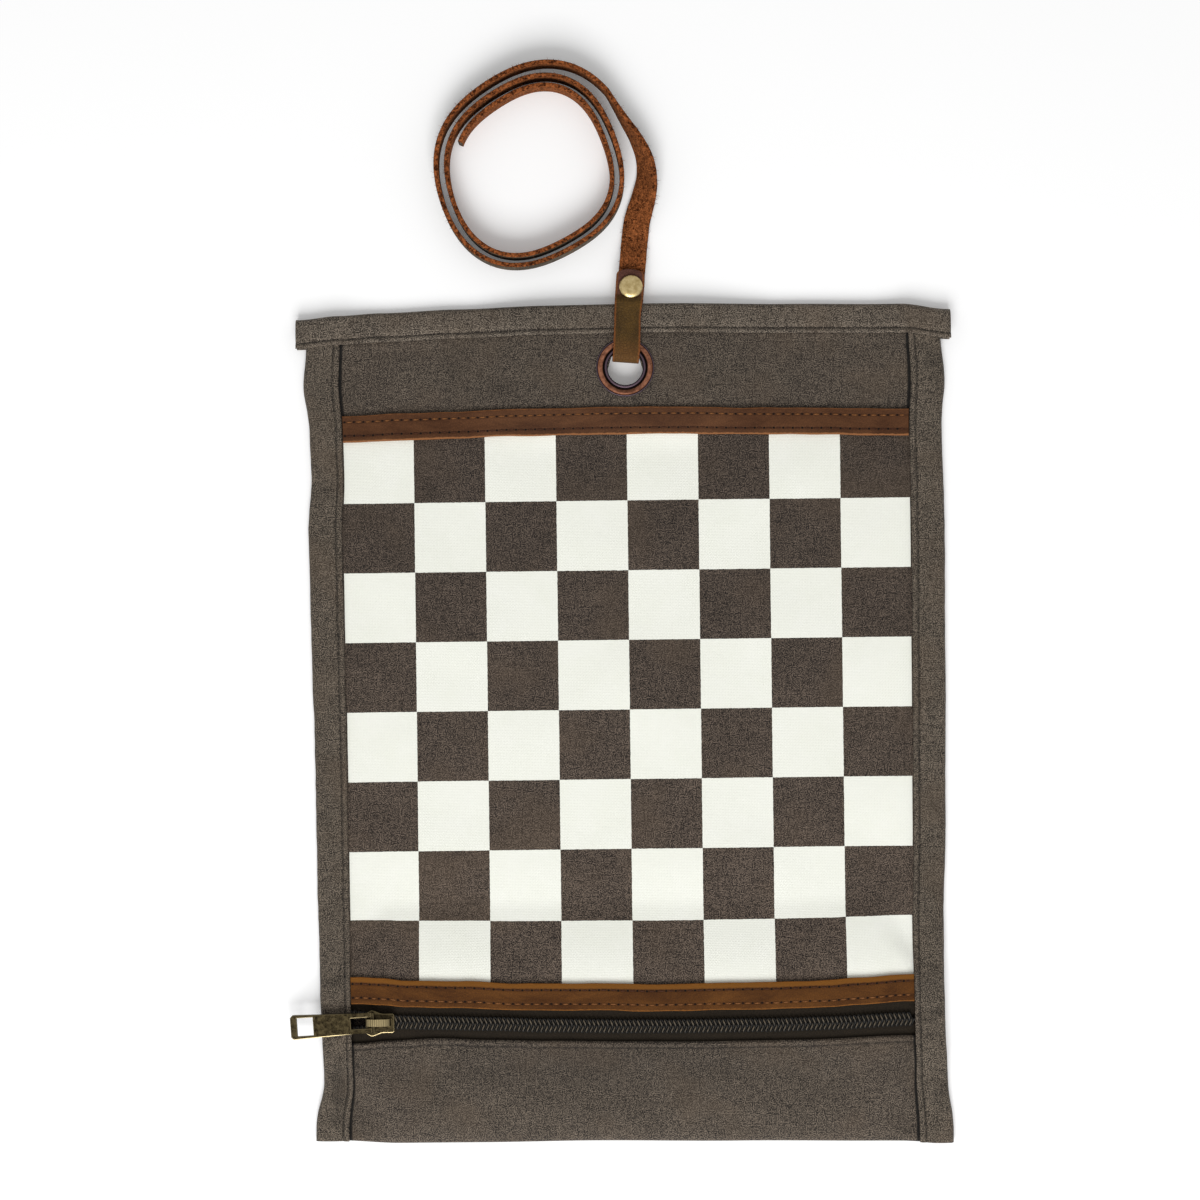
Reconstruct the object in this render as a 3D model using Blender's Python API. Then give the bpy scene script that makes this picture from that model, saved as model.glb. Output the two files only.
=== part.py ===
"""Roll-up canvas chess board with a zipped pocket and a leather tie, unrolled and lying on its back.

Metres, +Z up, +X across the board, +Y towards the eyelet. The origin is on the table, under the
middle of the mat. Each layer of cloth is its own solid, a small gap above the layer it is sewn to.
"""

import math

import bmesh
import bpy
from mathutils import Euler, Matrix, Vector

MM = 0.001
DEG = math.radians(1)

# Cloth and leather
GAP = 0.3 * MM
CLOTH = 0.7 * MM
LAYER = CLOTH + GAP
TAPE = 0.5 * MM
TRIM_THICKNESS = 1.2 * MM

# Mat, from its lower edge to its upper edge
SQUARE = 25.4 * MM
SQUARES = 8
ROW_PITCH = 24.9 * MM
BINDING_WIDTH = 12.0 * MM
POCKET_DEPTH = 37.5 * MM
ZIP_WINDOW = 12.0 * MM
TRIM_WIDTH = 9.5 * MM
UPPER_TRIM_OVERLAP = 2.1 * MM
LOWER_TRIM_OVERLAP = 4.1 * MM
TOP_PANEL_DEPTH = 27.5 * MM
TOP_BINDING_WIDTH = 10.5 * MM
TOP_BINDING_OVERHANG = 3.5 * MM
BOARD_VISIBLE = SQUARES * ROW_PITCH - UPPER_TRIM_OVERLAP - LOWER_TRIM_OVERLAP
MAT_LENGTH = (
    POCKET_DEPTH + ZIP_WINDOW + TRIM_WIDTH + BOARD_VISIBLE + TRIM_WIDTH
    + TOP_PANEL_DEPTH + TOP_BINDING_WIDTH
)
BOTTOM_Y = -MAT_LENGTH / 2
POCKET_EDGE_Y = BOTTOM_Y + POCKET_DEPTH
CHAIN_Y = POCKET_EDGE_Y + ZIP_WINDOW / 2
LOWER_TRIM_Y = POCKET_EDGE_Y + ZIP_WINDOW
BOARD_LOW_Y = LOWER_TRIM_Y + TRIM_WIDTH
BOARD_HIGH_Y = BOARD_LOW_Y + BOARD_VISIBLE
UPPER_TRIM_END_Y = BOARD_HIGH_Y + TRIM_WIDTH
TOP_BINDING_Y = UPPER_TRIM_END_Y + TOP_PANEL_DEPTH
TOP_Y = TOP_BINDING_Y + TOP_BINDING_WIDTH
SEAM_ALLOWANCE = 0.8 * MM
TRIM_SEAM_Y = BOARD_HIGH_Y + TRIM_WIDTH / 2
BOARD_HALF = SQUARES * SQUARE / 2
MAT_HALF = BOARD_HALF + BINDING_WIDTH
SEAM_CLAMP = 3.4 * MM
CLAMP_X = BOARD_HALF + SEAM_CLAMP
PANEL_EDGE_SETBACK = 1.7 * MM
PANEL_HALF = MAT_HALF - PANEL_EDGE_SETBACK
PANEL_TOP_Y = TOP_Y - PANEL_EDGE_SETBACK
SIDE_BINDING_SETBACK = 2.45 * MM
SIDE_BINDING_TOP_Y = TOP_Y - SIDE_BINDING_SETBACK
TOP_BINDING_HALF = MAT_HALF + TOP_BINDING_OVERHANG

# Tie strap, eyelet and rivet
STRAP_WIDTH = 9.5 * MM
STRAP = 1.7 * MM
STRAP_LEAN = 4.7 * DEG
EYELET_INSET = 23.0 * MM
EYELET_Y = TOP_Y - EYELET_INSET
EYELET_HOLE = 6.3 * MM
BARREL_WALL = 0.6 * MM
FLANGE_RADIUS = 10.25 * MM
FLANGE = 0.9 * MM
LIP = 0.4 * MM
LIP_WIDTH = 1.6 * MM
WASHER = 0.5 * MM
RIVET_PAST_HEM = 6.5 * MM
RIVET_REACH = EYELET_INSET + RIVET_PAST_HEM
RIVET_RADIUS = 4.2 * MM
RIVET_DOME = 1.4 * MM
RIVET_HEAD = 1.0 * MM
RIVET_SHANK = 1.3 * MM
RIVET_HOLE = RIVET_SHANK + GAP
STRAP_PAST_RIVET = 5.5 * MM
STRAP_END_ROUNDING = 2.6 * MM
STRAP_END_SQUARENESS = 2.6
STRAP_END_REACH = RIVET_REACH + STRAP_PAST_RIVET
FOLD_RADIUS = 1.6 * MM
FOLD_REACH = 1.9 * MM

# Heights of the layers, built up from the table
LIP_Z = STRAP + GAP
WASHER_Z = LIP_Z + LIP + GAP
HILL = WASHER_Z + WASHER + GAP
FLANGE_Z = HILL + 2 * LAYER
HEM_LOW_Z = HILL - LAYER
HEM_HIGH_Z = HILL + 2 * LAYER + CLOTH
FRONT_LEG_Z = max(FLANGE_Z + FLANGE, HEM_HIGH_Z) + GAP
HEM_MIDDLE_Z = (HEM_LOW_Z + HEM_HIGH_Z) / 2
POCKET_ROOM = 4.3 * MM
TAPE_Z = CLOTH + POCKET_ROOM
POCKET_Z = TAPE_Z + TAPE + GAP
COIL_HEIGHT = 1.6 * MM
SLIDER_PLATE = 0.8 * MM
SLIDER_LOW_Z = TAPE_Z - GAP - SLIDER_PLATE
SLIDER_HIGH_Z = POCKET_Z + COIL_HEIGHT + GAP
SLIDER_TOP_Z = SLIDER_HIGH_Z + SLIDER_PLATE
SEAM_HUMP = SLIDER_LOW_Z - GAP - CLOTH - LAYER

# Where the cloth rises and falls
HILL_TOP_X = 14.0 * MM
HILL_FOOT_X = 75.0 * MM
HILL_MARGIN = 2.0 * MM
HILL_TOP_Y = EYELET_Y - FLANGE_RADIUS - HILL_MARGIN
HILL_SLOPE = 19.5 * MM
HILL_FOOT_Y = HILL_TOP_Y - HILL_SLOPE
SEAM_SLOPE = 15.6 * MM
BACK_FLAT_X = BOARD_HALF - SEAM_SLOPE
TAPE_SETBACK = 2.1 * MM
TAPE_FLAT_X = BOARD_HALF - TAPE_SETBACK
HUMP_RISE = 26.0 * MM
ZIP_SLOPE = 36.0 * MM
HEM_RAMP = 3.7 * MM
POCKET_PINCH = 21.6 * MM
POCKET_PINCH_X = BOARD_HALF - POCKET_PINCH
POCKET_ROUND = 14.0 * MM
POCKET_FOLD = 1.5 * MM
SEAM_FOLD = (2 * CLOTH + GAP) / 2

# Zip
CHAIN_SETBACK = 0.4 * MM
CHAIN_HALF = BOARD_HALF - CHAIN_SETBACK
TOOTH_PITCH = 1.6 * MM
TOOTH_WIDTH = 0.55 * MM
ROW_WIDTH = 3.1 * MM
INTERLOCK = 0.8 * MM
TOOTH_DEPTH = 1.0 * MM
TAPE_WIDTH = 12.5 * MM
TAPE_INNER = 1.3 * MM
TAPE_LOW_Y = CHAIN_Y - TAPE_INNER - TAPE_WIDTH
TAPE_HIGH_Y = CHAIN_Y + TAPE_INNER + TAPE_WIDTH
CLOSED_OFFSET = (ROW_WIDTH - INTERLOCK) / 2
SLIDER_LENGTH = 10.1 * MM
COIL_END = 6.25 * MM
SLIDER_X = COIL_END + SLIDER_LENGTH / 2 - CHAIN_HALF
SLIDER_CLEARANCE = 0.22 * MM
SLIDER_WALL = 0.45 * MM
POST_HALF = 0.6 * MM
OPEN_OFFSET = POST_HALF + SLIDER_CLEARANCE + ROW_WIDTH / 2
SEAM_SPREAD = 0.55 * MM
SEAM_OFFSET = OPEN_OFFSET + SEAM_SPREAD
SHOULDER_SHARE = 0.2
WAIST_SHARE = 0.62
SHOULDER_X = SLIDER_X + (SHOULDER_SHARE - 0.5) * SLIDER_LENGTH
WAIST_X = SLIDER_X + (WAIST_SHARE - 0.5) * SLIDER_LENGTH
SLIDER_NOSE_X = SLIDER_X - SLIDER_LENGTH / 2
SLIDER_TAIL_X = SLIDER_X + SLIDER_LENGTH / 2
FLANGE_END_Z = POCKET_Z
BRIDGE_LENGTH = 9.1 * MM
BRIDGE_WIDTH = 2.5 * MM
BRIDGE_RISE = 3.0 * MM
BRIDGE_WALL = 0.8 * MM
BRIDGE_SETBACK = 0.6 * MM
BRIDGE_X = SLIDER_X - BRIDGE_SETBACK
BRIDGE_SQUARENESS = 3.0

# Pull
CROSSBAR_RADIUS = 0.7 * MM
CROSSBAR_SETBACK = 2.5 * MM
CROSSBAR_X = SLIDER_X - CROSSBAR_SETBACK
CROSSBAR_Z = SLIDER_TOP_Z + GAP + CROSSBAR_RADIUS
PULL_LENGTH = 29.3 * MM
PULL_NARROW = 6.7 * MM
PULL_WIDE = 8.7 * MM
PULL_THICKNESS = 1.2 * MM
PULL_DROOP = 3.0 * DEG
PULL_SKEW = -3.4 * DEG
PULL_CORNER = 0.9 * MM
PULL_EDGE = 0.2 * MM
SLOT_LENGTH = 7.8 * MM
SLOT_WIDTH = 4.0 * MM
WINDOW_LENGTH = 5.8 * MM
WINDOW_WIDTH = 6.5 * MM
WINDOW_RIM = 2.3 * MM

# Free tail and coil of the tie: the tail's route past the hem, chosen by hand, and the spiral's formula
TAIL_ROUTE = (
    (3.3 * MM, 15.9 * MM), (4.0 * MM, 23.1 * MM), (5.1 * MM, 30.3 * MM), (7.2 * MM, 37.4 * MM),
    (8.5 * MM, 44.6 * MM), (7.7 * MM, 51.7 * MM), (4.6 * MM, 58.9 * MM), (1.0 * MM, 64.7 * MM),
    (-2.2 * MM, 70.0 * MM),
)
TWIST_START = 25.3 * MM
TWIST_LENGTH = 48.0 * MM
TWIST_EASE_SHARE = 0.6
COIL_SIDE = -32.5 * MM
COIL_PAST_HEM = 47.8 * MM
COIL_CENTRE = Vector((COIL_SIDE, TOP_Y + COIL_PAST_HEM, STRAP_WIDTH / 2))
COIL_RADIUS = 36.0 * MM
COIL_PITCH = 3.5 * MM
COIL_LEAD = 4.67 * MM
COIL_LEAD_ANGLE = 60 * DEG
COIL_OVAL = 1.24 * MM
COIL_OVAL_ANGLE = 59.3 * DEG
COIL_TRIANGLE = 0.32 * MM
COIL_TRIANGLE_ANGLE = -27.7 * DEG
COIL_SQUARE = 1.01 * MM
COIL_SQUARE_ANGLE = -22.0 * DEG
COIL_START = 45 * DEG
COIL_TURN = 835 * DEG
POINTS_PER_LOOP = 24

# Modelling
OVERRUN = 1.0 * MM
MERGE = 0.001 * MM
ROUND_SEGMENTS = 36
FOLD_STEPS = 4


def mix(start, end, share):
    return start + (end - start) * share


def ramp(value, start, end):
    """0 at start and 1 at end, easing in and out between them."""
    share = min(max((value - start) / (end - start), 0), 1)
    return share * share * (3 - 2 * share)


def spread(start, end, count):
    """count values from start towards end, without end itself."""
    return [mix(start, end, i / count) for i in range(count)]


# Height of each layer over the table


def seam_hump(y):
    """The side seams stand off the table beside the zip, whose chain is stiff and runs straight."""
    rise = ramp(y, POCKET_EDGE_Y - HUMP_RISE, POCKET_EDGE_Y)
    fall = ramp(y, BOARD_LOW_Y + ZIP_SLOPE, LOWER_TRIM_Y)
    return SEAM_HUMP * rise * fall


def strap_hill(x, y):
    """The strap and the eyelet's washer lift the middle of the mat's upper end."""
    return HILL * ramp(abs(x), HILL_FOOT_X, HILL_TOP_X) * ramp(y, HILL_FOOT_Y, HILL_TOP_Y)


def back_under(x, y):
    side = (seam_hump(y) + LAYER) * ramp(abs(x), BACK_FLAT_X, BOARD_HALF)
    hem = LAYER * ramp(y, TOP_BINDING_Y - HEM_RAMP, TOP_BINDING_Y)
    return max(side + hem, strap_hill(x, y))


def tape_share(y):
    """1 where a zip tape lies between the back and the front, 0 well away from the zip."""
    return ramp(y, TAPE_LOW_Y - HEM_RAMP, TAPE_LOW_Y) * ramp(y, TAPE_HIGH_Y + HEM_RAMP, TAPE_HIGH_Y)


def seam_stack(y):
    """Underside of the front layer inside the side seams."""
    return seam_hump(y) + 2 * LAYER + (TAPE + GAP) * tape_share(y)


def tape_under(x, y):
    return mix(TAPE_Z, seam_hump(y) + 2 * LAYER, ramp(abs(x), TAPE_FLAT_X, CLAMP_X))


def front_under(x, y):
    """Underside of the board and of the top panel, which the zip lifts at the lower end."""
    resting = back_under(x, y) + LAYER
    flat_x = mix(TAPE_FLAT_X, BACK_FLAT_X, ramp(y, BOARD_LOW_Y, BOARD_LOW_Y + ZIP_SLOPE / 2))
    at_zip = mix(POCKET_Z, seam_stack(y), ramp(abs(x), flat_x, CLAMP_X))
    return max(resting, at_zip * ramp(y, BOARD_LOW_Y + ZIP_SLOPE, BOARD_LOW_Y))


def pocket_under(x, y):
    """Underside of the pocket's front, pinched flat towards the side seams."""
    deep = ramp(y, TAPE_LOW_Y, BOTTOM_Y + POCKET_ROUND / 2)
    pinch = mix(TAPE_FLAT_X, POCKET_PINCH_X, deep)
    return mix(POCKET_Z, seam_stack(y), ramp(abs(x), pinch, CLAMP_X))


def panel_under(x, y):
    return pocket_under(x, y) if y < CHAIN_Y else front_under(x, y)


# Places along and across the mat where every layer has its points, so that they stay parallel

HALF_STATIONS = (
    spread(0, HILL_TOP_X, 1) + spread(HILL_TOP_X, HILL_FOOT_X, 4) + spread(HILL_FOOT_X, BACK_FLAT_X, 1)
    + spread(BACK_FLAT_X, TAPE_FLAT_X, 3) + spread(TAPE_FLAT_X, BOARD_HALF, 1)
    + spread(BOARD_HALF, CLAMP_X, 2) + spread(CLAMP_X, PANEL_HALF, 1) + [PANEL_HALF]
)
ACROSS = [-x for x in reversed(HALF_STATIONS[1:])] + HALF_STATIONS
ROUND_ROWS = [BOTTOM_Y + POCKET_ROUND * (1 - math.cos(i / 5 * math.pi / 2)) for i in range(1, 5)]
POCKET_ROWS = (
    spread(BOTTOM_Y + POCKET_ROUND, TAPE_LOW_Y - HEM_RAMP, 3) + spread(TAPE_LOW_Y - HEM_RAMP, TAPE_LOW_Y, 1)
    + spread(TAPE_LOW_Y, POCKET_EDGE_Y, 2) + [POCKET_EDGE_Y]
)
ALONG = (
    [BOTTOM_Y + POCKET_FOLD] + ROUND_ROWS[1:] + POCKET_ROWS[:-1]
    + spread(POCKET_EDGE_Y, LOWER_TRIM_Y, 2) + spread(LOWER_TRIM_Y, TAPE_HIGH_Y, 1)
    + spread(TAPE_HIGH_Y, BOARD_LOW_Y + ZIP_SLOPE, 8)
    + spread(BOARD_LOW_Y + ZIP_SLOPE, HILL_FOOT_Y, 2) + spread(HILL_FOOT_Y, HILL_TOP_Y, 5)
    + spread(HILL_TOP_Y, TOP_BINDING_Y - HEM_RAMP, 2) + spread(TOP_BINDING_Y - HEM_RAMP, TOP_BINDING_Y, 2)
    + spread(TOP_BINDING_Y, PANEL_TOP_Y, 2) + [PANEL_TOP_Y]
)


def between(stations, low, high):
    inner = [s for s in stations if low + GAP < s < high - GAP]
    return [low] + inner + [high]


# Making objects


def clear_scene():
    for obj in list(bpy.data.objects):
        bpy.data.objects.remove(obj, do_unlink=True)


def material(name, colour, roughness, metallic=0.0):
    made = bpy.data.materials.new(name)
    made.use_nodes = True
    shader = made.node_tree.nodes["Principled BSDF"]
    shader.inputs["Base Color"].default_value = (*colour, 1)
    shader.inputs["Roughness"].default_value = roughness
    shader.inputs["Metallic"].default_value = metallic
    return made


def add_object(name, mesh, finish):
    data = bpy.data.meshes.new(name)
    mesh.to_mesh(data)
    mesh.free()
    obj = bpy.data.objects.new(name, data)
    bpy.context.scene.collection.objects.link(obj)
    if finish is not None:
        data.materials.append(finish)
    return obj


def hide_as_helper(obj):
    obj.hide_render = True
    obj.display_type = "WIRE"
    return obj


def thicken(obj, thickness, offset):
    solidify = obj.modifiers.new("Thickness", "SOLIDIFY")
    solidify.thickness = thickness
    solidify.offset = offset
    solidify.use_even_offset = True


def boolean(obj, other, operation):
    cut = obj.modifiers.new(other.name, "BOOLEAN")
    cut.operation = operation
    cut.object = other
    hide_as_helper(other)


def sheet(name, across, along, place, thickness, offset, finish):
    """A sheet over a grid. place(a, b) is a point of one face, and offset says where the other lies."""
    mesh = bmesh.new()
    columns = len(across) - 1
    rows = len(along) - 1
    bmesh.ops.create_grid(mesh, x_segments=columns, y_segments=rows, size=1)
    for vert in mesh.verts:
        column = round((vert.co.x + 1) / 2 * columns)
        row = round((vert.co.y + 1) / 2 * rows)
        vert.co = place(across[column], along[row])
    obj = add_object(name, mesh, finish)
    thicken(obj, thickness, offset)
    return obj


def shell(name, across, along, outer, inner, finish):
    """A sheet whose two faces are given point by point and joined round their edges."""
    mesh = bmesh.new()
    columns = len(across) - 1
    rows = len(along) - 1
    rims = []
    for place in (outer, inner):
        made = bmesh.ops.create_grid(mesh, x_segments=columns, y_segments=rows, size=1)
        for vert in made["verts"]:
            column = round((vert.co.x + 1) / 2 * columns)
            row = round((vert.co.y + 1) / 2 * rows)
            vert.co = place(across[column], along[row])
        faces = {face for vert in made["verts"] for face in vert.link_faces}
        rims += [edge for face in faces for edge in face.edges if edge.is_boundary]
    bmesh.ops.bridge_loops(mesh, edges=rims)
    bmesh.ops.recalc_face_normals(mesh, faces=mesh.faces)
    return add_object(name, mesh, finish)


def turned(name, profile, centre, finish):
    """A solid turned about +Z. A profile whose ends lie on the axis is open, any other is a closed ring."""
    mesh = bmesh.new()
    points = [mesh.verts.new((radius, 0, z)) for radius, z in profile]
    for start, end in zip(points, points[1:]):
        mesh.edges.new((start, end))
    if profile[0][0] > 0:
        mesh.edges.new((points[-1], points[0]))
    bmesh.ops.spin(
        mesh, geom=mesh.verts[:] + mesh.edges[:], cent=(0, 0, 0), axis=(0, 0, 1),
        angle=math.tau, steps=ROUND_SEGMENTS, use_merge=True,
    )
    bmesh.ops.remove_doubles(mesh, verts=mesh.verts, dist=MERGE)
    bmesh.ops.recalc_face_normals(mesh, faces=mesh.faces)
    mesh.transform(Matrix.Translation(centre))
    obj = add_object(name, mesh, finish)
    obj.data.shade_smooth()
    return obj


def prism(name, outline, low, high, finish=None, upright=False):
    """An outline in X and Y drawn out from low to high along Z, or upright in X and Z along Y."""
    mesh = bmesh.new()
    if upright:
        base = [mesh.verts.new((a, low, b)) for a, b in outline]
        draw = Vector((0, high - low, 0))
    else:
        base = [mesh.verts.new((a, b, low)) for a, b in outline]
        draw = Vector((0, 0, high - low))
    face = mesh.faces.new(base)
    drawn = bmesh.ops.extrude_face_region(mesh, geom=[face])
    moved = [item for item in drawn["geom"] if isinstance(item, bmesh.types.BMVert)]
    bmesh.ops.translate(mesh, verts=moved, vec=draw)
    bmesh.ops.recalc_face_normals(mesh, faces=mesh.faces)
    return add_object(name, mesh, finish)


def cylinder(name, radius, low, high, centre_x, centre_y):
    mesh = bmesh.new()
    bmesh.ops.create_cone(
        mesh, cap_ends=True, segments=ROUND_SEGMENTS, radius1=radius, radius2=radius, depth=high - low,
    )
    mesh.transform(Matrix.Translation((centre_x, centre_y, (low + high) / 2)))
    return add_object(name, mesh, None)


def ribbon(name, stations, thickness, finish):
    """A strap through stations of (centre, across, normal, half width), one four-sided ring at each."""
    mesh = bmesh.new()
    rings = []
    for centre, across, normal, half in stations:
        side = across * half
        up = normal * (thickness / 2)
        corners = (centre - side - up, centre + side - up, centre + side + up, centre - side + up)
        verts = [mesh.verts.new(corner) for corner in corners]
        rings.append([mesh.edges.new((verts[i - 1], verts[i])) for i in range(len(verts))])
    for ring, following in zip(rings, rings[1:]):
        bmesh.ops.bridge_loops(mesh, edges=ring + following)
    bmesh.ops.contextual_create(mesh, geom=rings[0])
    bmesh.ops.contextual_create(mesh, geom=rings[-1])
    bmesh.ops.recalc_face_normals(mesh, faces=mesh.faces)
    return add_object(name, mesh, finish)


# Canvas panels


def eyelet_hole(panel):
    radius = EYELET_HOLE + BARREL_WALL + GAP
    hole = cylinder(panel.name + "_hole", radius, 0, FRONT_LEG_Z + OVERRUN, 0, EYELET_Y)
    boolean(panel, hole, "DIFFERENCE")


# The back and the pocket's front are one folded sheet, cut in two along the fold's outermost line


def fold_size(x):
    """Radius of the lower fold's back half: the pocket's in the middle, the seam's at the sides."""
    return mix(POCKET_FOLD, SEAM_FOLD, ramp(abs(x), POCKET_PINCH_X, CLAMP_X))


def fold_height(x):
    return back_under(x, BOTTOM_Y + fold_size(x)) + fold_size(x)


def back_panel_point(x, step):
    """A point of the back's outer face, down the mat and then round the lower half of the fold."""
    kind, value = step
    fold = fold_size(x)
    if kind == "back":
        y = max(value, BOTTOM_Y + fold)
        return (x, y, back_under(x, y))
    angle = value * math.pi / 2
    return (x, BOTTOM_Y + fold * (1 - math.sin(angle)), fold_height(x) - fold * math.cos(angle))


def back_panel(finish):
    steps = [("back", y) for y in reversed(ALONG)]
    steps += [("fold", (i + 1) / FOLD_STEPS) for i in range(FOLD_STEPS)]
    panel = sheet("back_panel", ACROSS, steps, back_panel_point, CLOTH, -1, finish)
    eyelet_hole(panel)


def pocket_face_point(x, y, depth):
    """A point of one face of the pocket's front, which rises from the fold as a quarter of an ellipse."""
    reach = mix(POCKET_ROUND, SEAM_FOLD, ramp(abs(x), POCKET_PINCH_X, CLAMP_X)) - depth
    share = min((y - BOTTOM_Y) / POCKET_ROUND, 1)
    y += depth * (1 - share)
    before_crown = max(1 - (y - BOTTOM_Y - depth) / reach, 0)
    risen = math.sqrt(1 - before_crown * before_crown)
    return (x, y, mix(fold_height(x) + GAP, pocket_under(x, y) + CLOTH - depth, risen))


def pocket_outer_point(x, y):
    return pocket_face_point(x, y, 0)


def pocket_inner_point(x, y):
    return pocket_face_point(x, y, CLOTH)


def pocket_panel(finish):
    rows = [BOTTOM_Y] + ROUND_ROWS + POCKET_ROWS
    shell("pocket_panel", ACROSS, rows, pocket_outer_point, pocket_inner_point, finish)


def front_point(x, y):
    return (x, y, front_under(x, y))


def board_panel(finish):
    rows = between(ALONG, LOWER_TRIM_Y + SEAM_ALLOWANCE, TRIM_SEAM_Y - GAP)
    sheet("board_panel", ACROSS, rows, front_point, CLOTH, 1, finish)


def top_panel(finish):
    rows = between(ALONG, TRIM_SEAM_Y + GAP, PANEL_TOP_Y)
    panel = sheet("top_panel", ACROSS, rows, front_point, CLOTH, 1, finish)
    eyelet_hole(panel)


# Bindings


def side_binding_point(side, step, y):
    """Right round the binding's outer face, from the inner edge of its front leg to that of its back leg."""
    kind, value = step
    low = back_under(PANEL_HALF, y) - LAYER
    high = panel_under(PANEL_HALF, y) + LAYER + CLOTH
    radius = (high - low) / 2
    if kind == "front":
        return (side * value, y, panel_under(value, y) + LAYER + CLOTH)
    if kind == "back":
        return (side * value, y, back_under(value, y) - LAYER)
    angle = value * math.pi
    return (side * (MAT_HALF - radius * (1 - math.sin(angle))), y, low + radius * (1 + math.cos(angle)))


def side_binding(name, side, finish):
    legs = between(HALF_STATIONS, BOARD_HALF, CLAMP_X) + [mix(CLAMP_X, PANEL_HALF, 0.6)]
    fold = [("fold", i / (2 * FOLD_STEPS)) for i in range(2 * FOLD_STEPS + 1)]
    steps = [("front", x) for x in legs] + fold + [("back", x) for x in reversed(legs)]
    if side < 0:
        steps.reverse()
    rows = between(ALONG, BOTTOM_Y, SIDE_BINDING_TOP_Y)

    def place(step, y):
        return side_binding_point(side, step, y)

    sheet(name, steps, rows, place, CLOTH, -1, finish)


def top_binding_point(x, step):
    """Over the upper hem and its two corners, where the side bindings lie between its legs."""
    kind, value = step
    within = min(abs(x), PANEL_HALF)
    corner = LAYER * ramp(abs(x), TAPE_FLAT_X - HEM_RAMP, BOARD_HALF - GAP)
    low = back_under(within, PANEL_TOP_Y) - LAYER - corner
    high = front_under(within, PANEL_TOP_Y) + LAYER + CLOTH + corner
    radius = (high - low) / 2
    if kind == "front":
        return (x, value, front_under(within, value) + LAYER + CLOTH + corner)
    if kind == "back":
        return (x, value, back_under(within, value) - LAYER - corner)
    angle = value * math.pi
    return (x, TOP_Y - radius * (1 - math.sin(angle)), low + radius * (1 + math.cos(angle)))


def top_binding(finish):
    legs = [TOP_BINDING_Y, mix(TOP_BINDING_Y, PANEL_TOP_Y, 0.3), mix(TOP_BINDING_Y, PANEL_TOP_Y, 0.6)]
    fold = [("fold", i / (2 * FOLD_STEPS)) for i in range(2 * FOLD_STEPS + 1)]
    steps = [("front", y) for y in legs] + fold + [("back", y) for y in reversed(legs)]
    columns = between(ACROSS, -TOP_BINDING_HALF, TOP_BINDING_HALF)
    sheet("top_binding", columns, steps, top_binding_point, CLOTH, -1, finish)


def trim(name, low, finish):
    def place(x, y):
        return (x, y, front_under(x, y) + LAYER)

    columns = between(ACROSS, GAP - BOARD_HALF, BOARD_HALF - GAP)
    rows = between(ALONG, low, low + TRIM_WIDTH)
    sheet(name, columns, rows, place, TRIM_THICKNESS, 1, finish)


# Zip


def zip_tape(name, side, finish):
    near = CHAIN_Y + side * TAPE_INNER
    far = near + side * TAPE_WIDTH
    rows = between(ALONG, min(near, far), max(near, far))

    def place(x, y):
        return (x, y, tape_under(x, y))

    sheet(name, ACROSS, rows, place, TAPE, 1, finish)


def row_offset(x):
    """How far a coil's middle lies from the chain's centre line: closed, then parted by the slider."""
    if x < SHOULDER_X:
        return mix(OPEN_OFFSET, SEAM_OFFSET, ramp(x, SHOULDER_X, -CHAIN_HALF))
    return mix(OPEN_OFFSET, CLOSED_OFFSET, ramp(x, SHOULDER_X, WAIST_X))


def zip_coil(name, side, phase, finish):
    """One half of the chain as a comb: a spine, and teeth that reach between those of the other half."""
    count = int((2 * CHAIN_HALF - TOOTH_PITCH) / TOOTH_PITCH)
    reach = ROW_WIDTH / 2
    root = reach - TOOTH_DEPTH
    inner = [(-CHAIN_HALF, root)]
    for i in range(count):
        middle = -CHAIN_HALF + (i + 0.75 + phase) * TOOTH_PITCH
        low = middle - TOOTH_WIDTH / 2
        high = middle + TOOTH_WIDTH / 2
        inner += [(low, root), (low, reach), (high, reach), (high, root)]
    inner.append((CHAIN_HALF, root))
    outer = [(CHAIN_HALF, -reach), (WAIST_X, -reach)]
    outer += [(x, -reach) for x in spread(WAIST_X, SHOULDER_X, 4)[1:]]
    outer += [(x, -reach) for x in spread(SHOULDER_X, -CHAIN_HALF, 3)]
    outer.append((-CHAIN_HALF, -reach))
    outline = [(x, CHAIN_Y + side * (row_offset(x) - inward)) for x, inward in inner + outer]
    prism(name, outline, POCKET_Z, POCKET_Z + COIL_HEIGHT, finish)


def slider_half_width(x):
    """Half the slider's width, which follows the coils through it."""
    return row_offset(max(x, SHOULDER_X)) + ROW_WIDTH / 2 + SLIDER_CLEARANCE + SLIDER_WALL


def slider_outline():
    stations = spread(SHOULDER_X, WAIST_X, 6) + [WAIST_X, SLIDER_TAIL_X - SLIDER_WALL]
    nose_half = slider_half_width(SHOULDER_X) - SLIDER_PLATE
    right = [(SLIDER_NOSE_X, nose_half / 2), (SLIDER_NOSE_X + SLIDER_WALL, nose_half)]
    right += [(x, slider_half_width(x)) for x in stations]
    right.append((SLIDER_TAIL_X, slider_half_width(SLIDER_TAIL_X) - SLIDER_WALL))
    left = [(x, -half) for x, half in reversed(right)]
    return [(x, CHAIN_Y + half) for x, half in left + right]


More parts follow.
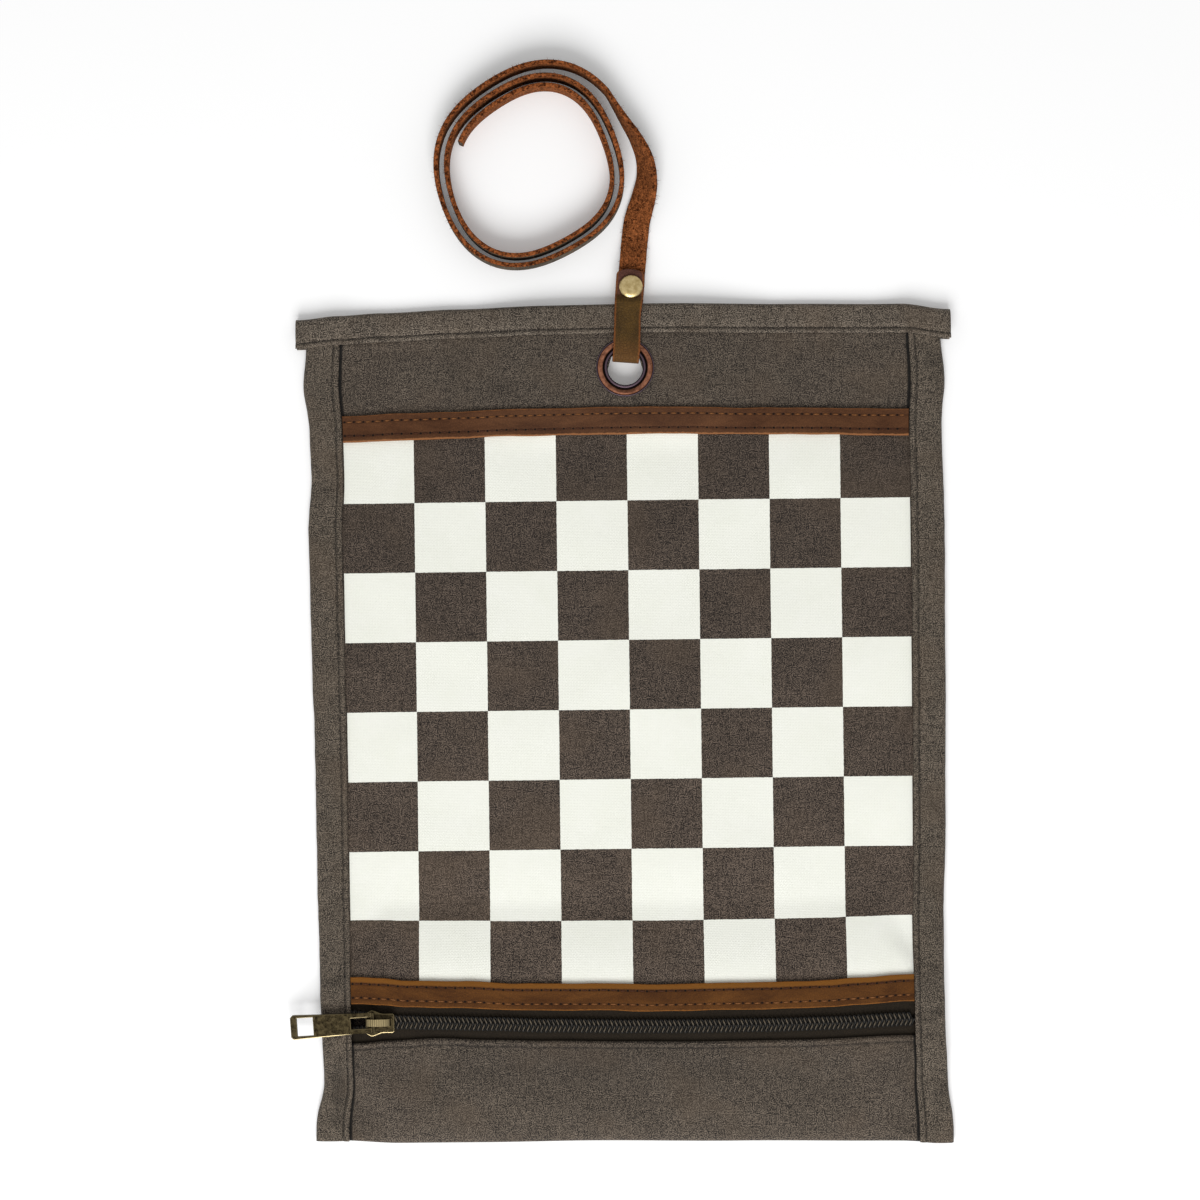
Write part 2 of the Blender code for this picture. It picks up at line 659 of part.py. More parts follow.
def slider_flange(side):
    """The wall that keeps one coil in the slider, from the shoulder to the tail."""
    stations = spread(SHOULDER_X, WAIST_X, 6) + [WAIST_X, SLIDER_TAIL_X - SLIDER_WALL]
    outer = [(x, CHAIN_Y + side * slider_half_width(x)) for x in stations]
    inner = [(x, CHAIN_Y + side * (slider_half_width(x) - SLIDER_WALL)) for x in reversed(stations)]
    name = "slider_flange_high" if side > 0 else "slider_flange_low"
    return prism(name, outer + inner, FLANGE_END_Z, SLIDER_HIGH_Z + SLIDER_PLATE / 2)


def slider_post():
    """The wedge between the plates that parts the two coils."""
    nose = SLIDER_NOSE_X + SLIDER_WALL
    tip = mix(SHOULDER_X, WAIST_X, 0.4)
    outline = [
        (nose, CHAIN_Y - POST_HALF / 2), (SHOULDER_X, CHAIN_Y - POST_HALF), (tip, CHAIN_Y),
        (SHOULDER_X, CHAIN_Y + POST_HALF), (nose, CHAIN_Y + POST_HALF / 2),
    ]
    return prism("slider_post", outline, SLIDER_LOW_Z + SLIDER_PLATE / 2, SLIDER_HIGH_Z + SLIDER_PLATE / 2)


def arch(half_length, rise, steps):
    """A squarish arch over the top plate, from its right foot to its left foot."""
    points = []
    for i in range(steps + 1):
        angle = i / steps * math.pi
        across = abs(math.cos(angle)) ** (2 / BRIDGE_SQUARENESS)
        up = math.sin(angle) ** (2 / BRIDGE_SQUARENESS)
        x = BRIDGE_X + math.copysign(across, math.cos(angle)) * half_length
        points.append((x, SLIDER_TOP_Z + up * rise))
    return points


def slider_bridge():
    outer = arch(BRIDGE_LENGTH / 2, BRIDGE_RISE, 16)
    inner = arch(BRIDGE_LENGTH / 2 - BRIDGE_WALL, BRIDGE_RISE - BRIDGE_WALL, 12)
    sunk = SLIDER_TOP_Z - SLIDER_PLATE / 2
    feet_right = [(inner[0][0], sunk), (outer[0][0], sunk)]
    feet_left = [(outer[-1][0], sunk), (inner[-1][0], sunk)]
    outline = feet_right + outer + feet_left + inner[::-1]
    low = CHAIN_Y - BRIDGE_WIDTH / 2
    return prism("slider_bridge", outline, low, low + BRIDGE_WIDTH, upright=True)


def slider_body(hinge, finish):
    body = prism("slider_body", slider_outline(), SLIDER_HIGH_Z, SLIDER_TOP_Z, finish)
    plate = prism("slider_bottom_plate", slider_outline(), SLIDER_LOW_Z, SLIDER_LOW_Z + SLIDER_PLATE)
    for piece in (slider_post(), plate, slider_flange(1), slider_flange(-1), slider_bridge()):
        boolean(body, piece, "UNION")
        piece.parent = hinge
    body.parent = hinge


# Pull, in its own frame: the crossbar's centre at the origin, the blade along -X


def blade_outline():
    inner = PULL_NARROW / 2
    outer = PULL_WIDE / 2
    end = -PULL_LENGTH
    half = [(0, inner), (end + PULL_CORNER, outer), (end, outer - PULL_CORNER)]
    return half + [(x, -y) for x, y in reversed(half)]


def box_outline(start, end, half):
    return [(start, -half), (end, -half), (end, half), (start, half)]


def crossbar():
    mesh = bmesh.new()
    bmesh.ops.create_cone(
        mesh, cap_ends=True, segments=ROUND_SEGMENTS // 2, radius1=CROSSBAR_RADIUS,
        radius2=CROSSBAR_RADIUS, depth=PULL_NARROW,
    )
    mesh.transform(Matrix.Rotation(math.pi / 2, 4, "X"))
    return add_object("pull_crossbar", mesh, None)


def pull_tab(hinge, finish):
    low = -PULL_THICKNESS / 2
    high = PULL_THICKNESS / 2
    tab = prism("pull_tab", blade_outline(), low, high, finish)
    slot = prism(
        "pull_slot", box_outline(-SLOT_LENGTH, OVERRUN, SLOT_WIDTH / 2), low - OVERRUN, high + OVERRUN
    )
    end = -PULL_LENGTH + WINDOW_RIM
    window = prism(
        "pull_window", box_outline(end, end + WINDOW_LENGTH, WINDOW_WIDTH / 2), low - OVERRUN, high + OVERRUN
    )
    boolean(tab, slot, "DIFFERENCE")
    boolean(tab, window, "DIFFERENCE")
    bar = crossbar()
    boolean(tab, bar, "UNION")
    for piece in (tab, slot, window, bar):
        piece.parent = hinge


# Eyelet


def eyelet(finish):
    """The front half: a domed flange and a barrel through the cloth, rolled over under the washer."""
    outside = EYELET_HOLE + BARREL_WALL
    dome = FLANGE_Z + FLANGE
    profile = [
        (outside, FLANGE_Z), (FLANGE_RADIUS, FLANGE_Z), (FLANGE_RADIUS, FLANGE_Z + FLANGE / 3),
        (mix(FLANGE_RADIUS, outside, 0.25), mix(FLANGE_Z, dome, 0.85)),
        (mix(FLANGE_RADIUS, outside, 0.55), dome),
        (mix(FLANGE_RADIUS, outside, 0.85), mix(FLANGE_Z, dome, 0.85)),
        (EYELET_HOLE, mix(FLANGE_Z, dome, 0.3)),
        (EYELET_HOLE, LIP_Z + LIP), (outside, LIP_Z), (outside + LIP_WIDTH, LIP_Z),
        (outside + LIP_WIDTH, LIP_Z + LIP), (outside, LIP_Z + LIP),
    ]
    turned("eyelet", profile, Vector((0, EYELET_Y, 0)), finish)


def eyelet_washer(finish):
    inside = EYELET_HOLE + BARREL_WALL + GAP
    profile = [
        (inside, WASHER_Z), (FLANGE_RADIUS, WASHER_Z), (FLANGE_RADIUS, WASHER_Z + WASHER / 2),
        (FLANGE_RADIUS - WASHER / 2, WASHER_Z + WASHER), (inside, WASHER_Z + WASHER),
    ]
    turned("eyelet_washer", profile, Vector((0, EYELET_Y, 0)), finish)


# Tie

LEAN_ALONG = Vector((math.sin(STRAP_LEAN), math.cos(STRAP_LEAN), 0))
LEAN_ACROSS = Vector((math.cos(STRAP_LEAN), -math.sin(STRAP_LEAN), 0))
EYELET_CENTRE = Vector((0, EYELET_Y, 0))
DESCENT_START = EYELET_INSET - GAP
DESCENT_END = RIVET_REACH - RIVET_RADIUS + GAP
FRONT_CENTRE_Z = FRONT_LEG_Z + STRAP / 2
BACK_CENTRE_Z = STRAP / 2
LEG_SPACING = STRAP + GAP
FRONT_RIVET_Z = HEM_MIDDLE_Z + LEG_SPACING / 2
BACK_RIVET_Z = HEM_MIDDLE_Z - LEG_SPACING / 2


def lean_point(reach, z):
    return EYELET_CENTRE + LEAN_ALONG * reach + Vector((0, 0, z))


def descent(reach, at_hem, at_rivet):
    """Height of a leg between the hem and the rivet, which draws the two legs together."""
    return mix(at_hem, at_rivet, ramp(reach, DESCENT_START, DESCENT_END))


def loop_path():
    """Side view of the loop as (reach from the eyelet, height), from its riveted end round to the tail."""
    turn = FOLD_REACH + STRAP / 2 + FOLD_RADIUS
    slope = [mix(DESCENT_END, DESCENT_START, i / 8) for i in range(9)]
    path = []
    for i in range(7):
        back = STRAP_END_ROUNDING * (1 - math.cos(i / 6 * math.pi / 2))
        path.append((STRAP_END_REACH - back, FRONT_RIVET_Z))
    path += [(reach, descent(reach, FRONT_CENTRE_Z, FRONT_RIVET_Z)) for reach in slope]
    path.append((mix(DESCENT_START, turn, 0.5), FRONT_CENTRE_Z))
    for height, way in ((FRONT_CENTRE_Z - FOLD_RADIUS, 1), (BACK_CENTRE_Z + FOLD_RADIUS, -1)):
        for i in range(5):
            angle = i / 4 * math.pi / 2
            along, up = (math.sin(angle), math.cos(angle)) if way > 0 else (math.cos(angle), math.sin(angle))
            path.append((turn - FOLD_RADIUS * along, height + way * FOLD_RADIUS * up))
    path.append((mix(DESCENT_START, turn, 0.5), BACK_CENTRE_Z))
    path += [(reach, descent(reach, BACK_CENTRE_Z, BACK_RIVET_Z)) for reach in reversed(slope)]
    path.append((STRAP_END_REACH, BACK_RIVET_Z))
    return path


def end_half_width(reach, z):
    """The front end is cut nearly square with rounded corners, and the rest is the strap's full width."""
    into = reach - (STRAP_END_REACH - STRAP_END_ROUNDING)
    if z < HEM_MIDDLE_Z or into <= 0:
        return STRAP_WIDTH / 2
    share = min(into / STRAP_END_ROUNDING, 0.98)
    return STRAP_WIDTH / 2 * (1 - share ** STRAP_END_SQUARENESS) ** (1 / STRAP_END_SQUARENESS)


def tie_loop(finish):
    path = loop_path()
    stations = []
    for i, (reach, z) in enumerate(path):
        before = path[max(i - 1, 0)]
        after = path[min(i + 1, len(path) - 1)]
        heading = (LEAN_ALONG * (after[0] - before[0]) + Vector((0, 0, after[1] - before[1]))).normalized()
        normal = LEAN_ACROSS.cross(heading)
        stations.append((lean_point(reach, z), LEAN_ACROSS, normal, end_half_width(reach, z)))
    loop = ribbon("tie_loop", stations, STRAP, finish)
    rivet = lean_point(RIVET_REACH, 0)
    hole = cylinder("rivet_hole", RIVET_HOLE, BACK_RIVET_Z - STRAP, FRONT_RIVET_Z + STRAP, rivet.x, rivet.y)
    boolean(loop, hole, "DIFFERENCE")
    return loop


def coil_radius(angle):
    lead = COIL_LEAD * math.exp(-angle / COIL_LEAD_ANGLE)
    oval = COIL_OVAL * math.cos(2 * (angle - COIL_OVAL_ANGLE))
    triangle = COIL_TRIANGLE * math.cos(3 * (angle - COIL_TRIANGLE_ANGLE))
    square = COIL_SQUARE * math.cos(4 * (angle - COIL_SQUARE_ANGLE))
    return COIL_RADIUS + lead + oval + triangle + square - COIL_PITCH * angle / math.tau


def coil_point(angle):
    return COIL_CENTRE + Vector((math.cos(angle), math.sin(angle), 0)) * coil_radius(angle)


def smooth_route(points, steps):
    """A curve through the points, with steps pieces between each two."""
    ends = [points[0] * 2 - points[1]] + points + [points[-1] * 2 - points[-2]]
    curve = []
    for a, b, c, d in zip(ends, ends[1:], ends[2:], ends[3:]):
        for i in range(steps):
            t = i / steps
            bend = (a * 2 - b * 5 + c * 4 - d) * t**2 + (b * 3 - a - c * 3 + d) * t**3
            curve.append((b * 2 + (c - a) * t + bend) / 2)
    return curve + [points[-1]]


def standing_stations(before, curve, after, twist):
    """Strap stations along a curve: twist(point) turns the strap from lying flat to standing on edge."""
    stations = []
    whole = [before] + curve + [after]
    for last, centre, following in zip(whole, curve, whole[2:]):
        heading = (following - last).normalized()
        right = heading.cross(Vector((0, 0, 1))).normalized()
        up = right.cross(heading)
        turn = twist(centre)
        across = right * math.cos(turn) + up * math.sin(turn)
        stations.append((centre, across, across.cross(heading), STRAP_WIDTH / 2))
    return stations


def tail_twist(point):
    share = min(max((point.y - TOP_Y - TWIST_START) / TWIST_LENGTH, 0), 1)
    return math.pi / 2 * mix(share, math.sin(share * math.pi / 2), TWIST_EASE_SHARE)


def tail_height(y, turn):
    """The tail comes down from the rivet, and never lets an edge below the table."""
    lowest = (STRAP_WIDTH * math.sin(turn) + STRAP * math.cos(turn) + GAP / 4) / 2
    down = ramp(y, TOP_Y + TAIL_ROUTE[0][1], TOP_Y + TWIST_START)
    return max(lowest, mix(BACK_RIVET_Z, lowest, down))


def tie_tail(finish):
    start = lean_point(STRAP_END_REACH + GAP, BACK_RIVET_Z)
    points = [start]
    for x, past_hem in TAIL_ROUTE:
        y = TOP_Y + past_hem
        flat = Vector((x, y, 0))
        points.append(Vector((x, y, tail_height(y, tail_twist(flat)))))
    joint = coil_point(COIL_START)
    heading = (coil_point(COIL_START + DEG) - coil_point(COIL_START - DEG)).normalized()
    points.append(joint - heading * GAP)
    curve = smooth_route(points, 3)
    before = start - LEAN_ALONG * (curve[1] - start).length
    after = joint + heading * (curve[-1] - curve[-2]).length
    ribbon("tie_tail", standing_stations(before, curve, after, tail_twist), STRAP, finish)
    return curve


def upright(point):
    return math.pi / 2


def tie_coil(finish):
    count = round(COIL_TURN / math.tau * POINTS_PER_LOOP)
    whole = [coil_point(COIL_START + COIL_TURN * i / count) for i in range(-1, count + 2)]
    curve = whole[1:-1]
    ribbon("tie_coil", standing_stations(whole[0], curve, whole[-1], upright), STRAP, finish)
    half_turn = POINTS_PER_LOOP // 2
    nearest = min(
        (curve[i] - curve[j]).length for i in range(len(curve)) for j in range(i + half_turn, len(curve))
    )
    print(f"least gap of the coil to itself: {(nearest - STRAP) / MM:.2f} mm")
    return curve


def length_of(curve):
    return sum((b - a).length for a, b in zip(curve, curve[1:]))


def rivet_cap(finish):
    low = FRONT_RIVET_Z + STRAP / 2 + GAP
    profile = [(0, low), (RIVET_RADIUS, low)]
    for i in range(1, 6):
        angle = i / 6 * math.pi / 2
        profile.append((RIVET_RADIUS * math.cos(angle) ** 0.5, low + RIVET_DOME * math.sin(angle)))
    profile.append((0, low + RIVET_DOME))
    turned("rivet_cap", profile, lean_point(RIVET_REACH, 0), finish)


def rivet_post(finish):
    head = BACK_RIVET_Z - STRAP / 2 - GAP
    top = FRONT_RIVET_Z + STRAP / 2
    profile = [
        (0, head - RIVET_HEAD), (RIVET_RADIUS - RIVET_HEAD / 2, head - RIVET_HEAD),
        (RIVET_RADIUS, head - RIVET_HEAD / 2), (RIVET_RADIUS, head), (RIVET_SHANK, head),
        (RIVET_SHANK, top), (0, top),
    ]
    turned("rivet_post", profile, lean_point(RIVET_REACH, 0), finish)


def main():
    clear_scene()
    canvas = material("waxed_canvas", (0.085, 0.068, 0.052), 0.85)
    board = material("printed_canvas", (0.075, 0.056, 0.042), 0.8)
    edging = material("binding_canvas", (0.1, 0.082, 0.066), 0.85)
    leather = material("trim_leather", (0.095, 0.04, 0.018), 0.55)
    strap = material("strap_leather", (0.16, 0.06, 0.025), 0.9)
    tape = material("zip_tape", (0.02, 0.016, 0.011), 0.9)
    nylon = material("zip_coil", (0.03, 0.024, 0.018), 0.45)
    antique = material("antique_brass", (0.2, 0.16, 0.09), 0.45, 1.0)
    copper = material("eyelet_copper", (0.3, 0.13, 0.08), 0.35, 1.0)
    brass = material("rivet_brass", (0.6, 0.47, 0.22), 0.35, 1.0)

    back_panel(canvas)
    pocket_panel(canvas)
    board_panel(board)
    top_panel(canvas)
    side_binding("left_binding", -1, edging)
    side_binding("right_binding", 1, edging)
    top_binding(edging)
    trim("upper_trim", BOARD_HIGH_Y, leather)
    trim("lower_trim", LOWER_TRIM_Y, leather)
    zip_tape("upper_zip_tape", 1, tape)
    zip_tape("lower_zip_tape", -1, tape)
    zip_coil("upper_zip_coil", 1, 0, nylon)
    zip_coil("lower_zip_coil", -1, 0.5, nylon)

    slide = bpy.data.objects.new("slider_slide", None)
    hinge = bpy.data.objects.new("pull_hinge", None)
    for empty in (slide, hinge):
        bpy.context.scene.collection.objects.link(empty)
    hinge.location = (CROSSBAR_X, CHAIN_Y, CROSSBAR_Z)
    hinge.rotation_euler = Euler((0, -PULL_DROOP, -PULL_SKEW))
    hinge.parent = slide
    slider_body(slide, antique)
    pull_tab(hinge, antique)

    eyelet(copper)
    eyelet_washer(copper)
    tie_loop(strap)
    tail = tie_tail(strap)
    coil = tie_coil(strap)
    rivet_cap(brass)
    rivet_post(brass)
    print(f"free length of the tie: {(length_of(tail) + length_of(coil)) / MM:.0f} mm")


main()
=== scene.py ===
# %% [markdown]
# # A roll-up chess board with a zipped pocket and a leather tie
# The board is a mat of waxed canvas, photographed unrolled and from straight above. This lesson
# dresses its solid model: each piece of cloth, leather, thread and metal gets the shape and the
# finish that the real one has. The solid model is loaded first and is never moved, so every new
# piece is made in the solid's own place, in metres, with +Z up from the table.

# %% Load the solid model
import math
import random
from functools import partialmethod

import bmesh
import bpy
from mathutils import Matrix, Vector, noise


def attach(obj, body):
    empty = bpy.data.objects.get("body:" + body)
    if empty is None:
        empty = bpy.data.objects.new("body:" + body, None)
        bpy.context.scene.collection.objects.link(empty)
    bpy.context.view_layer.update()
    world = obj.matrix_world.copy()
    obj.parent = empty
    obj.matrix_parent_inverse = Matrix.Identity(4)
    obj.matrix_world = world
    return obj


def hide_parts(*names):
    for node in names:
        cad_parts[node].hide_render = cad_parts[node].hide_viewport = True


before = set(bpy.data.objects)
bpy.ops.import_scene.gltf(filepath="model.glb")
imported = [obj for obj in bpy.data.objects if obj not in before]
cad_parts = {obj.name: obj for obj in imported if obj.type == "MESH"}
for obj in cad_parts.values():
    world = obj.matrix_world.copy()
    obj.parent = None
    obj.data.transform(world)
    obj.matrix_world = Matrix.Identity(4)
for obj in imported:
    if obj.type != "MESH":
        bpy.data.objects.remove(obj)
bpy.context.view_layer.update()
MM = 0.001

# %% [markdown]
# ## The camera
# The photograph looks straight down at the middle of the strap and the board together. From one
# metre up, a lens of 84 mm on a 36 mm sensor takes in 430 mm, which is what the photograph shows,
# and a small turn about the view matches how the mat lay.

# %% Put the camera over the mat
VIEW_WIDTH, VIEW_HEIGHT = 429.9 * MM, 1.0
SENSOR_WIDTH = 36
camera = bpy.data.objects.new("camera", bpy.data.cameras.new("camera"))
bpy.context.scene.collection.objects.link(camera)
camera.location = (-9.94 * MM, 44.0 * MM, VIEW_HEIGHT)
camera.rotation_euler = (0, 0, math.radians(-0.68))
camera.data.sensor_width = SENSOR_WIDTH
camera.data.lens = SENSOR_WIDTH * VIEW_HEIGHT / VIEW_WIDTH
camera.data.clip_start = 0.01
bpy.context.scene.camera = camera
print(f"lens {camera.data.lens:.1f} mm at {VIEW_HEIGHT} m")

# %% [markdown]
# ## Materials written as sums
# A procedural finish is arithmetic on textures. Written node by node it takes pages, so one small
# class wraps an output socket, and a table gives it Python's operators: `speckle * 0.3 + 0.7` then
# adds the two Math nodes itself. Any other node comes from a single method, which takes the node's
# type, its settings and the values or links of its inputs.

# %% A socket with arithmetic
class Wire:
    """An output socket whose sums and products are Math nodes."""

    def __init__(self, finish, socket):
        self.finish = finish
        self.socket = socket

    def maths(self, operation, other=0, turned=False):
        pair = (other, self) if turned else (self, other)
        return self.finish.add("Math", {"operation": operation}, {0: pair[0], 1: pair[1]})

    def eased(self, start, end):
        """0 at start and 1 at end, smooth between them, whichever is the greater."""
        limits = {"Value": self, "From Min": start, "From Max": end}
        return self.finish.add("MapRange", {"interpolation_type": "SMOOTHSTEP"}, limits)


MATH_NODES = {
    "__add__": "ADD", "__radd__": "ADD", "__sub__": "SUBTRACT", "__mul__": "MULTIPLY", "__rmul__": "MULTIPLY",
    "__truediv__": "DIVIDE", "__mod__": "FLOORED_MODULO", "__pow__": "POWER", "__gt__": "GREATER_THAN",
    "__lt__": "LESS_THAN", "__abs__": "ABSOLUTE", "most": "MAXIMUM", "sine": "SINE", "floor": "FLOOR",
}
for method, operation in MATH_NODES.items():
    setattr(Wire, method, partialmethod(Wire.maths, operation))
Wire.__rsub__ = partialmethod(Wire.maths, "SUBTRACT", turned=True)
print(f"{len(MATH_NODES) + 1} kinds of sum on a socket")

# %% A finish: a material under construction
def paint(red, green, blue):
    """A colour as it is written for a screen, 0 to 255, as the linear one that a shader takes."""
    parts = [v / 255 for v in (red, green, blue)]
    return tuple(v / 12.92 if v <= 0.04045 else ((v + 0.055) / 1.055) ** 2.4 for v in parts) + (1,)


class Finish:
    """One material or world, its nodes and the surface that they feed."""

    def __init__(self, name, world=None):
        self.material = world or bpy.data.materials.new(name)
        self.material.use_nodes = True
        self.tree = self.material.node_tree
        self.tree.nodes.clear()

    def add(self, kind, settings=None, inputs=None, output=0):
        node = self.tree.nodes.new("ShaderNode" + kind)
        for name, value in (settings or {}).items():
            setattr(node, name, value)
        for name, value in (inputs or {}).items():
            if isinstance(value, Wire):
                self.tree.links.new(value.socket, node.inputs[name])
            else:
                node.inputs[name].default_value = value
        return Wire(self, node.outputs[output]) if node.outputs else None

    def place(self):
        """Where a point of the piece is, in metres."""
        return self.add("TexCoord", output="Object")

    def map(self, name):
        """Where a point lies on the flat cloth or along the strap, in metres."""
        return self.add("UVMap", {"uv_map": name})

    def parts(self, vector):
        return [self.add("SeparateXYZ", inputs={0: vector}, output=i) for i in range(3)]

    def stretched(self, vector, across, along, up=1):
        return self.add("VectorMath", {"operation": "MULTIPLY"}, {0: vector, 1: (across, along, up)})

    def noise(self, vector, size, detail=2.0, roughness=0.5, distortion=0.0):
        """Soft random values about 0.5, whose blots are about as large as size."""
        inputs = {
            "Vector": vector, "Scale": 1 / size, "Detail": detail, "Roughness": roughness, "Distortion": distortion,
        }
        return self.add("TexNoise", {"noise_dimensions": "3D"}, inputs)

    def cells(self, vector, size, feature="F1", output="Distance"):
        return self.add("TexVoronoi", {"feature": feature}, {"Vector": vector, "Scale": 1 / size}, output)

    def blend(self, share, first, second, mode="MIX"):
        settings = {"data_type": "RGBA", "blend_type": mode, "clamp_factor": True}
        return self.add("Mix", settings, {0: share, 6: first, 7: second}, output=2)

    def shaded(self, colour, brightness):
        """A colour made lighter or darker by a value about 1."""
        grey = self.add("CombineXYZ", inputs={0: brightness, 1: brightness, 2: brightness})
        colour = colour if isinstance(colour, Wire) else colour[:3]
        return self.add("VectorMath", {"operation": "MULTIPLY"}, {0: colour, 1: grey})

    def bumped(self, height, depth):
        """A height between 0 and 1 as a surface that rises and falls by depth."""
        return self.add("Bump", inputs={"Height": height, "Distance": depth, "Strength": 1.0}, output="Normal")

    def surface(self, **inputs):
        named = {name.replace("_", " ").title().replace("Ior", "IOR"): value for name, value in inputs.items()}
        shader = self.add("BsdfPrincipled", inputs=named)
        self.add("OutputMaterial", inputs={"Surface": shader})
        return self.material


print("one class for sockets, one for finishes")

# %% [markdown]
# ## Floor and light
# The mat lay on a white sheet under a large soft light on its near side. The floor is a matt white
# that keeps the mat's shadow. Seen by the camera, in metal or through glass it also glows a little,
# so that the open floor reaches white without more light on the mat. The lamps keep to a level at
# which a colour renders about as it is written.

# %% Lay the floor and hang the light
floor_mesh = bmesh.new()
bmesh.ops.create_grid(floor_mesh, x_segments=1, y_segments=1, size=4)
floor_data = bpy.data.meshes.new("floor")
floor_mesh.to_mesh(floor_data)
floor = bpy.data.objects.new("floor", floor_data)
bpy.context.scene.collection.objects.link(floor)


def looked_at(finish):
    """1 for what the camera sees, straight, in metal or through glass, and 0 for what only lights."""
    camera_ray, mirrored, through = (
        finish.add("LightPath", output=f"Is {kind} Ray") for kind in ("Camera", "Glossy", "Transmission")
    )
    return camera_ray.most(mirrored).most(through)


WHITE, GLOW = 0.97, 0.1
white = Finish("white_floor")
matt = white.add("BsdfDiffuse", inputs={"Color": (WHITE, WHITE, WHITE, 1)})
glow = white.add("Emission", inputs={"Color": (1, 1, 1, 1), "Strength": looked_at(white) * GLOW})
white.add("OutputMaterial", inputs={"Surface": white.add("AddShader", inputs={0: matt, 1: glow})})
floor.data.materials.append(white.material)


def lamp(name, spot, size, power):
    """A square soft light at a spot, turned towards the middle of the mat."""
    light = bpy.data.objects.new(name, bpy.data.lights.new(name, "AREA"))
    light.data.size = size
    light.data.energy = power
    light.location = spot
    light.rotation_euler = (Vector(spot) - Vector((0, 30 * MM, 0))).to_track_quat("Z", "Y").to_euler()
    bpy.context.scene.collection.objects.link(light)


lamp("window", (-0.12, -1.15, 1.25), 1.1, 25)

SHOWN_STRENGTH, LIGHTING_STRENGTH = 1.0, 0.6
bpy.context.scene.world = bpy.data.worlds.new("studio")
studio = Finish("studio", bpy.context.scene.world)
lighting, shown = (
    studio.add("Background", inputs={"Strength": strength}) for strength in (LIGHTING_STRENGTH, SHOWN_STRENGTH)
)
chosen = studio.add("MixShader", inputs={0: looked_at(studio), 1: lighting, 2: shown})
studio.add("OutputWorld", inputs={"Surface": chosen})
bpy.context.scene.view_settings.view_transform = "Standard"
print("floor, one soft lamp and a pale studio")

# %% [markdown]
# ## Where the layers lie
# Every layer of cloth follows the same few heights: the zip holds the pocket open, the strap lifts
# the middle of the upper end, and the side seams are pinched flat. These are the solid model's own
# formulas, written again here, so that cloth, thread and leather all lie on each other.

# %% Measures of the mat
GAP = 0.3 * MM
CLOTH = 0.7 * MM
LAYER = 1.0 * MM
TAPE = 0.5 * MM
BOTTOM_Y, TOP_Y = -149.75 * MM, 149.75 * MM
POCKET_EDGE_Y, CHAIN_Y, LOWER_TRIM_Y = -112.25 * MM, -106.25 * MM, -100.25 * MM
BOARD_LOW_Y, BOARD_HIGH_Y = -90.75 * MM, 102.25 * MM
UPPER_TRIM_END_Y, TOP_BINDING_Y, TRIM_SEAM_Y = 111.75 * MM, 139.25 * MM, 107.0 * MM
BOARD_HALF, CLAMP_X, PANEL_HALF, MAT_HALF = 101.6 * MM, 105.0 * MM, 111.9 * MM, 113.6 * MM
PANEL_TOP_Y, SIDE_BINDING_TOP_Y = 148.05 * MM, 147.3 * MM
TOP_BINDING_HALF = 117.1 * MM
HILL, HILL_TOP_X, HILL_FOOT_X = 3.5 * MM, 14.0 * MM, 75.0 * MM
HILL_FOOT_Y, HILL_TOP_Y = 95.0 * MM, 114.5 * MM
BACK_FLAT_X, TAPE_FLAT_X, POCKET_PINCH_X = 86.0 * MM, 99.5 * MM, 80.0 * MM
TAPE_Z, POCKET_Z, SEAM_HUMP = 5.0 * MM, 5.8 * MM, 1.9 * MM
TAPE_LOW_Y, TAPE_HIGH_Y = -120.05 * MM, -92.45 * MM
ZIP_SLOPE, HUMP_RISE, HEM_RAMP, POCKET_ROUND = 36.0 * MM, 26.0 * MM, 3.7 * MM, 14.0 * MM
POCKET_FOLD, SEAM_FOLD = 1.5 * MM, 0.85 * MM


def mix(start, end, share):
    return start + (end - start) * share


def ramp(value, start, end):
    """0 at start and 1 at end, easing in and out between them."""
    share = min(max((value - start) / (end - start), 0), 1)
    return share * share * (3 - 2 * share)


def seam_hump(y):
    above_pocket = ramp(y, POCKET_EDGE_Y - HUMP_RISE, POCKET_EDGE_Y)
    return SEAM_HUMP * above_pocket * ramp(y, BOARD_LOW_Y + ZIP_SLOPE, LOWER_TRIM_Y)


def strap_hill(x, y):
    return HILL * ramp(abs(x), HILL_FOOT_X, HILL_TOP_X) * ramp(y, HILL_FOOT_Y, HILL_TOP_Y)


def back_under(x, y):
    side = (seam_hump(y) + LAYER) * ramp(abs(x), BACK_FLAT_X, BOARD_HALF)
    hem = LAYER * ramp(y, TOP_BINDING_Y - HEM_RAMP, TOP_BINDING_Y)
    return max(side + hem, strap_hill(x, y))


def seam_stack(y):
    tape_share = ramp(y, TAPE_LOW_Y - HEM_RAMP, TAPE_LOW_Y) * ramp(y, TAPE_HIGH_Y + HEM_RAMP, TAPE_HIGH_Y)
    return seam_hump(y) + 2 * LAYER + (TAPE + GAP) * tape_share


def tape_under(x, y):
    return mix(TAPE_Z, seam_hump(y) + 2 * LAYER, ramp(abs(x), TAPE_FLAT_X, CLAMP_X))


def front_under(x, y):
    flat_x = mix(TAPE_FLAT_X, BACK_FLAT_X, ramp(y, BOARD_LOW_Y, BOARD_LOW_Y + ZIP_SLOPE / 2))
    at_zip = mix(POCKET_Z, seam_stack(y), ramp(abs(x), flat_x, CLAMP_X))
    return max(back_under(x, y) + LAYER, at_zip * ramp(y, BOARD_LOW_Y + ZIP_SLOPE, BOARD_LOW_Y))


def pocket_under(x, y):
    pinch = mix(TAPE_FLAT_X, POCKET_PINCH_X, ramp(y, TAPE_LOW_Y, BOTTOM_Y + POCKET_ROUND / 2))
    return mix(POCKET_Z, seam_stack(y), ramp(abs(x), pinch, CLAMP_X))


